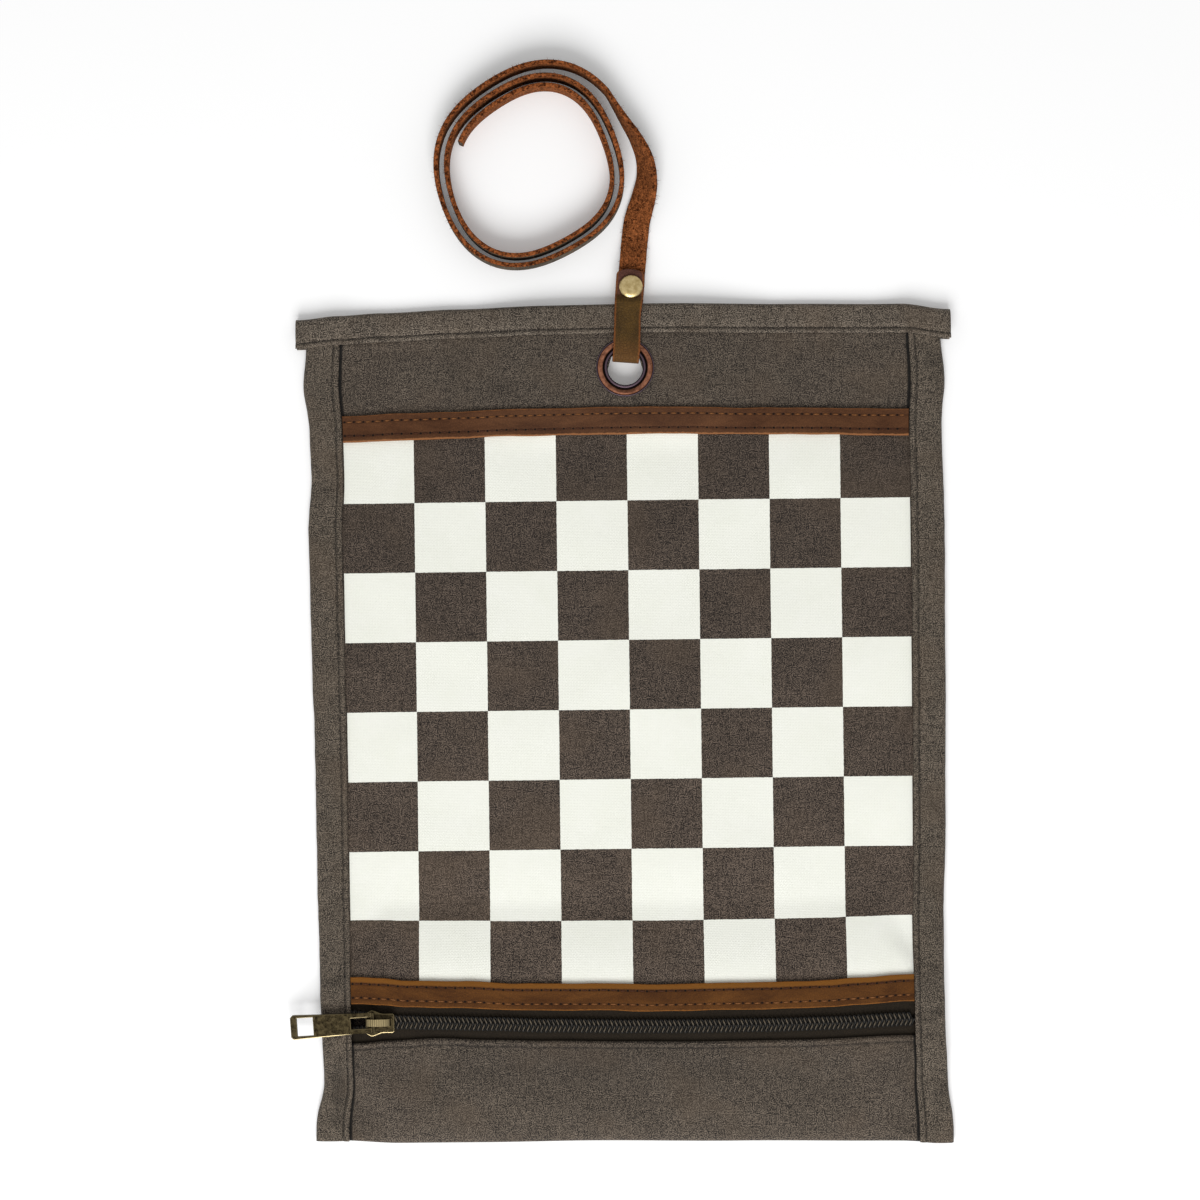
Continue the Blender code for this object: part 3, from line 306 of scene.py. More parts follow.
def panel_under(x, y):
    return pocket_under(x, y) if y < CHAIN_Y else front_under(x, y)


print(f"board's middle lies {front_under(0, 0) / MM:.1f} mm up, the zip {POCKET_Z / MM:.1f} mm")

# %% [markdown]
# ## How the real mat strays from straight
# Sewn canvas is never quite square: the sides wander by a millimetre or two and the upper corners
# droop. Each edge's wander is read from the photograph at a few places and eased between them, and
# fades out towards the middle. One function moves every layer, so the seams stay together. A second
# one lifts all the layers a little where the cloth doesn't lie quite flat on the table.

# %% Wander of the edges, in millimetres
LEFT_WANDER = (
    (-145, 0.0), (-127, 3.1), (-91, 2.1), (-55, 1.4), (-19, 1.2), (-1, 1.0), (17, 0.5), (45, 0.1), (70, -0.3),
    (88, 1.0), (106, 0.5), (124, -1.45), (142, -0.2),
)
RIGHT_WANDER = (
    (-145, 0.7), (-127, -1.3), (-109, -2.1), (-91, -2.3), (-73, -2.1), (-37, -0.9), (17, -0.3), (70, 0.0),
    (106, -0.65), (124, 0.6), (142, -0.9),
)
TOP_WANDER = (
    (-116, -4.5), (-102, -3.2), (-87, -2.3), (-59, -1.25), (-30, -0.5), (13, -0.15), (56, -0.65), (99, -1.15),
    (117, -3.3),
)
BOTTOM_WANDER = (
    (-105, 1.7), (-84, 0.45), (-48, 0.35), (-19, 0.55), (38, -0.15), (95, -0.8), (110, -1.5),
)
UPPER_TRIM_WANDER = (
    (-98, -1.0), (-80, -0.35), (-60, 0.0), (-40, 0.6), (0, 0.95), (20, 0.8), (45, 0.3), (70, 0.0), (85, -0.5),
    (98, -0.7),
)
LOWER_TRIM_WANDER = (
    (-98, 1.6), (-90, 1.2), (-80, 0.3), (-60, -0.3), (-40, -1.3), (-15, -1.6), (10, -2.2), (45, -1.9), (70, -1.4),
    (80, -0.65), (98, 0.4),
)
CHAIN_WANDER = (
    (-92, 1.1), (-84, 0.9), (-70, 0.5), (-50, -0.1), (-30, -0.9), (0, -1.5), (20, -1.7), (50, -1.6), (70, -1.2),
    (98, -0.1),
)
POCKET_EDGE_WANDER = (
    (-98, -0.6), (-86, 0.2), (-70, 0.85), (-50, 0.0), (-30, -0.55), (0, -1.1), (20, -1.4), (60, -1.2), (98, 0.0),
)
WAVE_WIDTH, WAVE_LENGTH, WAVE_HEIGHT = 42 * MM, 34 * MM, 1.1 * MM


def read_off(table, place):
    """A value from a table of places and values, eased between its entries."""
    place /= MM
    if place <= table[0][0]:
        return table[0][1] * MM
    for (near, first), (far, second) in zip(table, table[1:]):
        if place <= far:
            return mix(first, second, ramp(place, near, far)) * MM
    return table[-1][1] * MM


def wander(x, y):
    """How far the real cloth lies from its drawn place, sideways and lengthways."""
    sideways = read_off(LEFT_WANDER if x < 0 else RIGHT_WANDER, y) * ramp(abs(x), 88 * MM, MAT_HALF)
    upper_trim = read_off(UPPER_TRIM_WANDER, x)
    lower_trim = read_off(LOWER_TRIM_WANDER, x)
    chain = read_off(CHAIN_WANDER, x)
    pocket_edge = read_off(POCKET_EDGE_WANDER, x)
    if y > UPPER_TRIM_END_Y:
        return sideways, mix(upper_trim, read_off(TOP_WANDER, x), ramp(y, UPPER_TRIM_END_Y, 136 * MM))
    if y > LOWER_TRIM_Y:
        lower = lower_trim * ramp(y, -55 * MM, BOARD_LOW_Y)
        return sideways, lower + upper_trim * ramp(y, 75 * MM, BOARD_HIGH_Y)
    if y > CHAIN_Y:
        return sideways, mix(chain, lower_trim, ramp(y, CHAIN_Y + 2 * MM, LOWER_TRIM_Y))
    if y > POCKET_EDGE_Y:
        return sideways, mix(chain, pocket_edge, ramp(y, CHAIN_Y - 2 * MM, POCKET_EDGE_Y))
    below = pocket_edge * ramp(y, -140 * MM, POCKET_EDGE_Y)
    return sideways, below + read_off(BOTTOM_WANDER, x) * ramp(y, -118 * MM, -148 * MM)


def lift(x, y):
    """Shallow waves that raise every layer together, away from the zip and the strap."""
    calm = ramp(y, -80 * MM, -50 * MM) * ramp(y, 108 * MM, 80 * MM) * ramp(abs(x), 113 * MM, 90 * MM)
    wave = noise.noise(Vector((x / WAVE_WIDTH, y / WAVE_LENGTH, 3.1)))
    return max(wave + 0.15, 0) * WAVE_HEIGHT * calm


def laid(x, y, z):
    """A drawn place as the real one."""
    sideways, lengthways = wander(x, y)
    return Vector((x + sideways, y + lengthways, z + lift(x, y)))


print(f"upper left corner {wander(-TOP_BINDING_HALF, TOP_Y)[1] / MM:.1f} mm low")

# %% [markdown]
# ## A sheet from a grid
# A piece of cloth starts as a flat grid, one operator call, and each of its points is then put
# where the piece's own formula says. The point's place on the flat cloth is kept in a map, so that
# the weave and the print follow the cloth over folds. Solidify gives the sheet its thickness.

# %% Helpers for pieces
TOUCHING = 0.001 * MM


def keep(name, mesh, finish, body):
    """A bmesh as a finished piece that rides on a body."""
    data = bpy.data.meshes.new(name)
    mesh.to_mesh(data)
    mesh.free()
    piece = bpy.data.objects.new(name, data)
    bpy.context.scene.collection.objects.link(piece)
    data.materials.append(finish)
    for face in data.polygons:
        face.use_smooth = True
    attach(piece, body)
    return piece


def grid(columns, rows, place, map_name="cloth"):
    """A grid of columns by rows: place(column, row) gives each point and its spot on the flat cloth."""
    mesh = bmesh.new()
    flat = mesh.loops.layers.uv.new(map_name)
    made = bmesh.ops.create_grid(mesh, x_segments=len(columns) - 1, y_segments=len(rows) - 1, size=1)
    spots = {}
    for vert in made["verts"]:
        column = columns[round((vert.co.x + 1) / 2 * (len(columns) - 1))]
        row = rows[round((vert.co.y + 1) / 2 * (len(rows) - 1))]
        vert.co, spots[vert] = place(column, row)
    for face in mesh.faces:
        for loop in face.loops:
            loop[flat].uv = spots[loop.vert]
    return mesh


def tube(count, sides, place, map_name):
    """A grid rolled up: its long edges are merged and its two ends filled."""
    mesh = grid(range(count), range(sides), place, map_name)
    bmesh.ops.remove_doubles(mesh, verts=mesh.verts, dist=TOUCHING)
    bmesh.ops.holes_fill(mesh, edges=[edge for edge in mesh.edges if edge.is_boundary], sides=0)
    bmesh.ops.recalc_face_normals(mesh, faces=mesh.faces)
    return mesh


def travelled(points):
    """The distance from the first point to each of the points, along the line through them."""
    distances = [0]
    for a, b in zip(points, points[1:]):
        distances.append(distances[-1] + (Vector(b) - Vector(a)).length)
    return distances


def steps(start, end, size):
    """Evenly spaced values from start to end, about size apart."""
    count = max(round(abs(end - start) / size), 1)
    return [mix(start, end, i / count) for i in range(count + 1)]


EYELET_Y = 126.75 * MM
EYELET_CLEAR, EYELET_PUSH = 7.2 * MM, 14 * MM


def hole_opened(x, y):
    """Points near the eyelet move out of its hole, the nearest ones the most."""
    away = math.hypot(x, y - EYELET_Y)
    if away >= EYELET_PUSH or away < TOUCHING:
        return x, y
    share = mix(EYELET_CLEAR, EYELET_PUSH, away / EYELET_PUSH) / away
    return x * share, EYELET_Y + (y - EYELET_Y) * share


def cut_hole(mesh):
    """Deletes the faces that span the eyelet's hole."""
    inside = [
        face for face in mesh.faces
        if (face.calc_center_median().xy - Vector((0, EYELET_Y))).length < EYELET_CLEAR - 0.6 * MM
    ]
    bmesh.ops.delete(mesh, geom=inside, context="FACES")


def thicken(piece, thickness, offset=0):
    """Thickness about the grid, or on one side of it where offset is 1 or -1."""
    solid = piece.modifiers.new("thickness", "SOLIDIFY")
    solid.thickness = thickness
    solid.offset = offset
    solid.use_even_offset = True
    return piece


print("grids, tubes, steps and thickness ready")

# %% [markdown]
# ## The strap's leather
# The tie is one strap of brown leather, 9.5 mm wide and 1.7 mm thick. Its grain side is smooth and
# nearly black-brown, its flesh side is orange-brown suede with loose fibres, and its cut edges are
# raw. Which side shows is known from the strap's own map: one direction runs along the strap, the
# other round it. So one finish can tell grain, suede and edge apart wherever the strap turns.

# %% Suede, grain and cut edge in one finish
STRAP_WIDTH, STRAP = 9.5 * MM, 1.7 * MM
STRAP_HALF_GIRTH = STRAP_WIDTH + STRAP


def strap_finish(name, looped):
    """Strap leather; the riveted loop is worn otherwise than the free strap."""
    leather = Finish(name)
    spot = leather.map("strap")
    along, round_it, _ = leather.parts(spot)
    place = leather.place()
    fine = leather.noise(place, 0.35 * MM, 3, 0.65)
    broad = leather.noise(place, 9 * MM, 3, 0.6)
    fibres = leather.noise(leather.stretched(place, 1, 0.8), 0.75 * MM, 4, 0.75, 1.4)
    clots = leather.noise(place, 2.2 * MM, 3, 0.7, 0.8)
    suede = leather.blend((fibres * 0.84 + clots * 0.16).eased(0.38, 0.66), paint(44, 18, 6), paint(178, 106, 60))
    suede = leather.shaded(suede, broad * 0.5 + 0.7)
    raw = leather.noise(leather.stretched(place, 1, 1, 0.7), 0.7 * MM, 4, 0.7)
    edge = leather.blend((raw * 0.7 + clots * 0.3).eased(0.4, 0.64), paint(44, 18, 7), paint(170, 98, 54))
    creases = leather.cells(spot, 1.1 * MM, "DISTANCE_TO_EDGE")
    if looped:
        body = leather.blend((broad * 0.5 + fine * 0.5).eased(0.34, 0.66), paint(44, 30, 10), paint(88, 64, 26))
        near_rivet = 1 - along.eased(7 * MM, 13 * MM)
        near_fold = along.eased(24 * MM, 31 * MM)
        body = leather.blend(near_rivet, body, leather.shaded(paint(84, 52, 42), fine * 0.7 + 0.65))
        body = leather.blend(near_fold * 0.7, body, leather.shaded(paint(98, 66, 32), fine * 0.7 + 0.65))
        rubbed = abs(round_it).eased(STRAP_WIDTH / 2 - 0.9 * MM, STRAP_WIDTH / 2 - 0.3 * MM)
        grain = leather.blend(rubbed * 0.7, body, leather.shaded(paint(128, 74, 34), fine * 0.6 + 0.7))
    else:
        grain = leather.blend(broad.eased(0.3, 0.75), paint(58, 50, 40), paint(96, 86, 72))
    grain = leather.shaded(grain, creases.eased(0, 0.12) * 0.2 + fine * 0.4 + 0.68)
    on_grain = abs(round_it) < STRAP_WIDTH / 2 - 0.1 * MM
    on_suede = abs(round_it) > STRAP_WIDTH / 2 + STRAP - 0.3 * MM
    colour = leather.blend(on_suede, leather.blend(on_grain, edge, grain), suede)
    height = fibres * 0.6 + clots * 0.25 + fine * 0.15
    smooth = creases.eased(0, 0.15) * 0.5 + fine * 0.2
    height = height * (1 - on_grain) + smooth * on_grain
    rough = 0.95 - on_grain * (0.38 - 0.2 * fine)
    return leather.surface(
        base_color=colour, roughness=rough, specular_ior_level=0.15 if looped else 0.03,
        normal=leather.bumped(height, 0.22 * MM), sheen_weight=0.03, sheen_roughness=0.6,
        sheen_tint=(0.9, 0.6, 0.4, 1),
    )


strap_leather = strap_finish("strap_leather", False)
loop_leather = strap_finish("loop_leather", True)
print("suede, grain and edge told apart by the strap's own map")

# %% [markdown]
# ## The route of the free strap
# Past the rivet the strap lies flat with its suede side up, then turns onto its edge within 50 mm
# and winds into a coil of two and a third turns. The route is the solid model's: a smooth curve
# through points past the hem, then a spiral whose outline is a slightly squared oval.

# %% Points along the strap
TAIL_ROUTE = (
    (3.3, 15.9), (4.0, 23.1), (5.1, 30.3), (7.2, 37.4), (8.5, 44.6), (7.7, 51.7), (4.6, 58.9), (1.0, 64.7),
    (-2.2, 70.0),
)
LANDING_Y, LANDED_Y, TWIST_LENGTH = TOP_Y + 15.9 * MM, TOP_Y + 25.3 * MM, 48 * MM
STRAP_LEAN = math.radians(4.7)
FRONT_RIVET_Z, BACK_RIVET_Z = 5.35 * MM, 3.35 * MM
RIVET_REACH, STRAP_END_REACH = 29.5 * MM, 35.0 * MM
LEAN_ALONG = Vector((math.sin(STRAP_LEAN), math.cos(STRAP_LEAN), 0))
LEAN_ACROSS = Vector((math.cos(STRAP_LEAN), -math.sin(STRAP_LEAN), 0))
COIL_CENTRE = Vector((-32.5 * MM, TOP_Y + 47.8 * MM, STRAP_WIDTH / 2))
COIL_START, COIL_END, COIL_STEP = 45, 881, 3
DEG = math.radians(1)


def lean_point(reach, z):
    """A point of the riveted loop's line, which leans a little to the right of straight up the mat."""
    return Vector((0, EYELET_Y, z)) + LEAN_ALONG * reach


def coil_point(angle):
    """A spiral that closes by 3.5 mm a turn; three waves make its oval, in millimetres."""
    degrees = angle / DEG
    radius = 36.0 + 4.67 * math.exp(-degrees / 60) + 1.24 * math.cos(2 * (degrees - 59.3) * DEG)
    radius += 0.32 * math.cos(3 * (degrees + 27.7) * DEG) + 1.01 * math.cos(4 * (degrees + 22) * DEG)
    radius -= 3.5 * degrees / 360
    return COIL_CENTRE + Vector((math.cos(angle), math.sin(angle), 0)) * radius * MM


def smooth_route(points, pieces):
    """A curve through the points, with so many pieces between each two."""
    ends = [points[0] * 2 - points[1]] + points + [points[-1] * 2 - points[-2]]
    curve = []
    for a, b, c, d in zip(ends, ends[1:], ends[2:], ends[3:]):
        for i in range(pieces):
            t = i / pieces
            bend = (a * 2 - b * 5 + c * 4 - d) * t**2 + (b * 3 - a - c * 3 + d) * t**3
            curve.append((b * 2 + (c - a) * t + bend) / 2)
    return curve + [points[-1]]


def strap_turn(y):
    """How far the strap has turned from lying flat to standing on its edge."""
    share = min(max((y - LANDED_Y) / TWIST_LENGTH, 0), 1)
    return math.pi / 2 * mix(share, math.sin(share * math.pi / 2), 0.6)


def strap_height(y):
    """Height of the strap's middle, which comes down from the rivet onto the table."""
    turn = strap_turn(y)
    lowest = (STRAP_WIDTH * math.sin(turn) + STRAP * math.cos(turn) + GAP / 4) / 2
    return max(lowest, mix(BACK_RIVET_Z, lowest, ramp(y, LANDING_Y, LANDED_Y)))


tail_points = [Vector((x * MM, TOP_Y + past * MM, strap_height(TOP_Y + past * MM))) for x, past in TAIL_ROUTE]
tail_points.insert(0, lean_point(STRAP_END_REACH, BACK_RIVET_Z))
route = smooth_route(tail_points + [coil_point(COIL_START * DEG)], 6)
TAIL_COUNT = len(route)
route = route[:-1] + [coil_point(angle * DEG) for angle in range(COIL_START, COIL_END, COIL_STEP)]
print(f"free strap {travelled(route)[-1] / MM:.0f} mm long, {len(route)} points")

# %% [markdown]
# ## The free strap as one tube
# The strap is a grid rolled into a flat tube: one direction follows the route, the other goes round
# a rounded rectangle. The tube's seam is merged and its two ends are filled. Along the cut edges a
# little waviness keeps the leather from looking machined.

def rounded_girth():
    """Round the strap's section: (across, up, distance round from the grain side's middle)."""
    corner = 0.35 * MM
    half, rise = STRAP_WIDTH / 2, STRAP / 2
    ring = []
    for turn, sign_across, sign_up in ((0, 1, 1), (1, 1, -1), (2, -1, -1), (3, -1, 1)):
        for i in range(4):
            angle = (90 - 90 * turn - i * 30) * DEG
            across = sign_across * (half - corner) + corner * math.cos(angle)
            up = sign_up * (rise - corner) + corner * math.sin(angle)
            ring.append((across, up))
    ring.insert(0, (0, rise))
    ring.insert(1, (half / 2, rise))
    ring.insert(10, (0, -rise))
    ring += [(-half / 2, rise), (0, rise)]
    lengths = [0]
    for (a, b), (c, d) in zip(ring, ring[1:]):
        lengths.append(lengths[-1] + math.hypot(c - a, d - b))
    whole = lengths[-1]
    return [(a, u, length - whole / 2) for (a, u), length in zip(ring, lengths)]


GIRTH = rounded_girth()


def strap_tube(name, centres, frame_at, body, finish, width_at=None):
    """A strap along centres; frame_at(i) gives its across and up directions there."""
    distances = travelled(centres)

    def place(i, j):
        across, up = frame_at(i)
        a, u, round_it = GIRTH[j]
        wide = width_at(i) if width_at else 1
        rough = noise.noise(Vector((distances[i] / (3.2 * MM), math.copysign(2, a), 1.7)))
        uneven = 1 + (0.035 * rough if a > 0 else -0.03 * abs(rough))
        return centres[i] + across * a * wide * uneven + up * u, (distances[i], round_it)

    return keep(name, tube(len(centres), len(GIRTH), place, "strap"), finish, body)


def heading_at(points, i):
    return (points[min(i + 1, len(points) - 1)] - points[max(i - 1, 0)]).normalized()


def route_frame(i):
    heading = heading_at(route, i)
    right = heading.cross(Vector((0, 0, 1))).normalized()
    up = right.cross(heading)
    turn = strap_turn(route[i].y) if i < TAIL_COUNT else math.pi / 2
    across = right * math.cos(turn) + up * math.sin(turn)
    return across, across.cross(heading)


strap = strap_tube("strap_free_end", route, route_frame, "tie", strap_leather)
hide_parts("tie_tail", "tie_coil")
print(f"strap has {len(strap.data.polygons)} faces")

# %% [markdown]
# Raw suede sheds fibres along its cut edges. Each fibre here is a thin cone of three sides, rooted
# on an edge of the suede side and leaning outwards, with the length and lean left to chance.

# %% Fray the suede's edges
FIBRES, LONGEST_FIBRE = 900, 1.7 * MM
BOTH_EDGES_COUNT = 75
fibre_chance = random.Random(4)


def frayed_edges():
    """Both edges shed fibres while the strap lies; once it stands on edge, only the upper one."""
    mesh = bmesh.new()
    flat = mesh.loops.layers.uv.new("strap")
    for _ in range(FIBRES):
        i = fibre_chance.randrange(4, len(route) - 2)
        across, up = route_frame(i)
        edge = fibre_chance.choice((-1, 1)) if i < BOTH_EDGES_COUNT else -1 if across.z < 0 else 1
        root = route[i] + (route[i + 1] - route[i]) * fibre_chance.random()
        root = root + across * edge * (STRAP_WIDTH / 2 - 0.12 * MM) - up * (STRAP / 2 - 0.25 * MM)
        stray = Vector([fibre_chance.uniform(-1, 1) for _ in range(3)]) * 0.8
        outwards = across * edge * fibre_chance.uniform(0.1, 0.9) - up * fibre_chance.uniform(0.3, 1.0)
        lean = (outwards + stray).normalized()
        length = fibre_chance.uniform(0.35, 1.0) ** 2 * LONGEST_FIBRE
        matrix = Matrix.Translation(root + lean * length / 2) @ lean.to_track_quat("Z", "Y").to_matrix().to_4x4()
        bmesh.ops.create_cone(
            mesh, segments=3, radius1=0.07 * MM, radius2=0.02 * MM, depth=length, cap_ends=False, matrix=matrix
        )
    for face in mesh.faces:
        for loop in face.loops:
            loop[flat].uv = (0, STRAP_HALF_GIRTH)
    for vert in mesh.verts:
        vert.co.z = max(vert.co.z, 0.1 * MM)
    return keep("frayed_edges", mesh, strap_leather, "tie")


fray = frayed_edges()
print(f"{len(fray.data.polygons)} faces of frayed fibres")

# %% [markdown]
# ## The riveted loop of the strap
# The strap's other end goes down through the eyelet, round the hem and back up, and a rivet holds
# the two legs together. It is the same tube on the loop's side view, whose front end is cut nearly
# straight with rounded corners. The suede side faces inwards, so the grain shows on top.

# %% Make the loop
HEM_MIDDLE_Z = 4.35 * MM
DESCENT_START, DESCENT_END = 22.7 * MM, 25.6 * MM
FRONT_CENTRE_Z, BACK_CENTRE_Z = 7.55 * MM, 0.85 * MM
FOLD_RADIUS, FOLD_TURN = 1.6 * MM, 1.9 * MM + STRAP / 2 + 1.6 * MM
STRAP_END_ROUNDING, STRAP_END_SQUARENESS = 2.6 * MM, 2.6


def descent(reach, at_hem, at_rivet):
    """Height of a leg between the hem and the rivet, which draws the two legs together."""
    return mix(at_hem, at_rivet, ramp(reach, DESCENT_START, DESCENT_END))


def loop_side_view():
    """(Reach from the eyelet, height) from the riveted end round to the tail."""
    path = []
    for i in range(11):
        back = STRAP_END_ROUNDING * (1 - math.cos(i / 10 * math.pi / 2))
        path.append((STRAP_END_REACH - back, FRONT_RIVET_Z))
    path += [(reach, FRONT_RIVET_Z) for reach in steps(31.5 * MM, 26.5 * MM, 1 * MM)]
    slope = [mix(DESCENT_END, DESCENT_START, i / 10) for i in range(11)]
    path += [(reach, descent(reach, FRONT_CENTRE_Z, FRONT_RIVET_Z)) for reach in slope]
    path += [(mix(DESCENT_START, FOLD_TURN, i / 10), FRONT_CENTRE_Z) for i in range(1, 10)]
    for height, way in ((FRONT_CENTRE_Z - FOLD_RADIUS, 1), (BACK_CENTRE_Z + FOLD_RADIUS, -1)):
        for i in range(9):
            angle = i / 8 * math.pi / 2
            along, up = (math.sin(angle), math.cos(angle)) if way > 0 else (math.cos(angle), math.sin(angle))
            path.append((FOLD_TURN - FOLD_RADIUS * along, height + way * FOLD_RADIUS * up))
    path += [(mix(FOLD_TURN, DESCENT_START, i / 6), BACK_CENTRE_Z) for i in range(1, 6)]
    path += [(reach, descent(reach, BACK_CENTRE_Z, BACK_RIVET_Z)) for reach in reversed(slope)]
    path += [(mix(DESCENT_END, STRAP_END_REACH, i / 5), BACK_RIVET_Z) for i in range(1, 6)]
    return path


def leg_shift(reach, z):
    """The front leg lies a little to the left of the back one, more so towards the rivet."""
    return -0.45 * MM * ramp(reach, 6 * MM, 20 * MM) * ramp(z, BACK_RIVET_Z, FRONT_RIVET_Z)


loop_path = loop_side_view()
loop_centres = [lean_point(reach, z) + LEAN_ACROSS * leg_shift(reach, z) for reach, z in loop_path]


def loop_frame(i):
    return LEAN_ACROSS, LEAN_ACROSS.cross(heading_at(loop_centres, i))


def loop_width(i):
    """Narrower towards the front end, whose corners are rounded."""
    reach, z = loop_path[i]
    into = (reach - STRAP_END_REACH) / STRAP_END_ROUNDING + 1
    if z < HEM_MIDDLE_Z:
        return 1
    squashed = 1 + 0.055 * ramp(reach, 16 * MM, 27 * MM)
    if into <= 0:
        return squashed
    return squashed * (1 - min(into, 0.98) ** STRAP_END_SQUARENESS) ** (1 / STRAP_END_SQUARENESS)


loop = strap_tube("strap_riveted_loop", loop_centres, loop_frame, "tie", loop_leather, loop_width)
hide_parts("tie_loop")
print(f"loop has {len(loop.data.polygons)} faces")

# %% [markdown]
# ## Waxed canvas
# All the cloth is one dark brown waxed canvas: a plain weave of threads half a millimetre apart,
# flecked light and dark by the wax and mottled over the width of a thumb. Painted shade darkens it in
# the lines of stitches, beside the bindings, over some dents and on the pocket below the zip, and a
# painted highlight makes it a little paler where it stands proud of a seam. Painted light makes the
# board paler towards the lamp at its lower end. Weave and flecks read the flat map, so they follow
# the cloth. The board's pale squares are printed over the same weave, and the print breaks up a
# little between threads.

# %% Canvas, plain and printed
SQUARE, ROW_PITCH = 25.4 * MM, 24.9 * MM
FIRST_ROW_Y, PRINT_LOW_Y = BOARD_LOW_Y - 4.1 * MM, LOWER_TRIM_Y + 5 * MM
THREAD_PITCH = 0.55 * MM
SEAM_INSET, HEM_SEAM = 2.3 * MM, 1.8 * MM


def canvas(name, low, high, printed=False, rubbed=0.0, seed=0.0, seams=(), crevice_shadows=(), hollow_shade=(), painted_light_falloff=0.0):
    """Waxed canvas whose darkest and palest flecks are low and high.

    Seams are (0 or 1 for across or along, place): painted shade darkens each stitch line, and a
    painted highlight pales the lip beside it. Crevice shadows are painted shadows, dark lines along
    the cloth at an x. Hollow shade gives ovals of painted shade: place, two reaches and darkness,
    with lengths in millimetres. The painted light falloff is how much darker the cloth is painted
    towards the hem, away from the lamp, and paler towards the lower end.
    """
    cloth = Finish(name)
    spot = cloth.add("VectorMath", {"operation": "ADD"}, {0: cloth.map("cloth"), 1: (0, 0, seed)})
    across, along, _ = cloth.parts(spot)
    warp, weft = (abs((way * (math.pi / THREAD_PITCH)).sine()) for way in (across, along))
    over = ((across / THREAD_PITCH).floor() + (along / THREAD_PITCH).floor()) % 2
    weave = over * warp + (1 - over) * weft
    fleck = cloth.noise(spot, 0.4 * MM, 1, 0.6)
    clump = cloth.noise(cloth.stretched(spot, 1, 0.7), 1.3 * MM, 2, 0.7)
    thread = cloth.noise(cloth.stretched(spot, 1, 0.12), 0.7 * MM, 2, 0.6)
    pick = cloth.noise(cloth.stretched(spot, 0.12, 1), 0.7 * MM, 2, 0.6)
    mottle = cloth.noise(spot, 13 * MM, 4, 0.6, 0.4)
    crease = cloth.noise(spot, 30 * MM, 5, 0.62, 1.5)
    creases = 1 - abs(crease - 0.5).eased(0.0, 0.028)
    share = (fleck * 0.64 + clump * 0.16 + thread * 0.1 + pick * 0.1).eased(0.41, 0.63)
    colour = cloth.blend(share, low, high)
    warm = cloth.noise(spot, 22 * MM, 3, 0.5)
    colour = cloth.blend(warm.eased(0.45, 0.7) * 0.3, colour, paint(88, 74, 60))
    brightness = mottle * 0.6 + creases * 0.06 + weave * 0.08 + (0.67 + rubbed)
    distances = [abs((along if way else across) - seam) for way, seam in seams]
    # Painted highlight: the lip that stands proud beside each seam is painted a little paler.
    for away in distances:
        brightness = brightness + (1 - abs(away - SEAM_INSET * 0.55).eased(0.2 * MM, 1.3 * MM)) * 0.07
    # Painted shade: the groove of each stitch line is painted darker.
    for away in distances:
        brightness = brightness * (away.eased(0.1 * MM, 0.75 * MM) * 0.42 + 0.58)
    place = cloth.place()
    _, lengthways, _ = cloth.parts(place)
    # Painted light: the cloth is painted paler towards its lower end, nearer the lamp, and darker towards the hem.
    brightness = brightness * (1 + (0.5 - lengthways.eased(-130 * MM, 130 * MM)) * painted_light_falloff)
    # Painted shadow: a dark line is painted along the gap at each binding's inner edge.
    for crevice in crevice_shadows:
        away = abs(across - crevice)
        brightness = brightness * (0.08 + away.eased(0.45 * MM, 1.15 * MM) * 0.92)
    # Painted shade: each oval darkens the cloth where it lies in a dent.
    for x, y, wide, long, dark in hollow_shade:
        offset = cloth.add("VectorMath", {"operation": "SUBTRACT"}, {0: place, 1: (x * MM, y * MM, 0)})
        offset = cloth.stretched(offset, 1 / (wide * MM), 1 / (long * MM), 0)
        away = cloth.add("VectorMath", {"operation": "LENGTH"}, {0: offset}, output="Value")
        brightness = brightness * (1 - (1 - away.eased(0.1, 1.0)) * dark)
    colour = cloth.shaded(colour, brightness)
    if printed:
        edge = cloth.noise(spot, 1.1 * MM, 3, 0.7) - 0.5
        column = (across + BOARD_HALF - 0.3 * MM) / SQUARE + edge * 0.014
        row = (along - FIRST_ROW_Y) / ROW_PITCH + edge * 0.014
        pale_square = (column.floor() + row.floor()) % 2
        pale_square = pale_square * (abs(across) < BOARD_HALF - 0.35 * MM) * (along > PRINT_LOW_Y)
        worn = (fleck * 0.35 + mottle * 0.45 + weave * 0.2).eased(0.12, 0.3)
        ink = cloth.blend(fleck * 0.3 + mottle * 0.7, paint(240, 242, 228), paint(252, 252, 245))
        colour = cloth.blend(pale_square * (0.9 + worn * 0.1), colour, ink)
    height = weave * 0.7 + fleck * 0.3
    return cloth.surface(
        base_color=colour, roughness=0.86 - 0.16 * mottle, specular_ior_level=0.22,
        normal=cloth.bumped(height, 0.1 * MM), sheen_weight=0.05, sheen_roughness=0.5,
    )


pocket_row = 2 * BOTTOM_Y - POCKET_EDGE_Y + SEAM_INSET
side_rows = [(0, side * (BOARD_HALF + SEAM_INSET)) for side in (-1, 1)]
# Painted shadows along the bindings' inner edges.
shadows_beside_bindings = [side * (BOARD_HALF - 0.2 * MM) for side in (-1, 1)]
# A wide oval of painted shade lies on the pocket below the zip.
panel_canvas = canvas(
    "panel_canvas", paint(18, 13, 10), paint(117, 105, 92), seams=[(1, pocket_row)], crevice_shadows=shadows_beside_bindings,
    hollow_shade=[(-20, -121, 105, 13, 0.18)],
)
# The board is painted darker towards its upper end, as painted light from the lamp at the lower end.
board_canvas = canvas("board_canvas", paint(14, 9, 6), paint(112, 98, 86), printed=True, seed=0.03, painted_light_falloff=0.36)
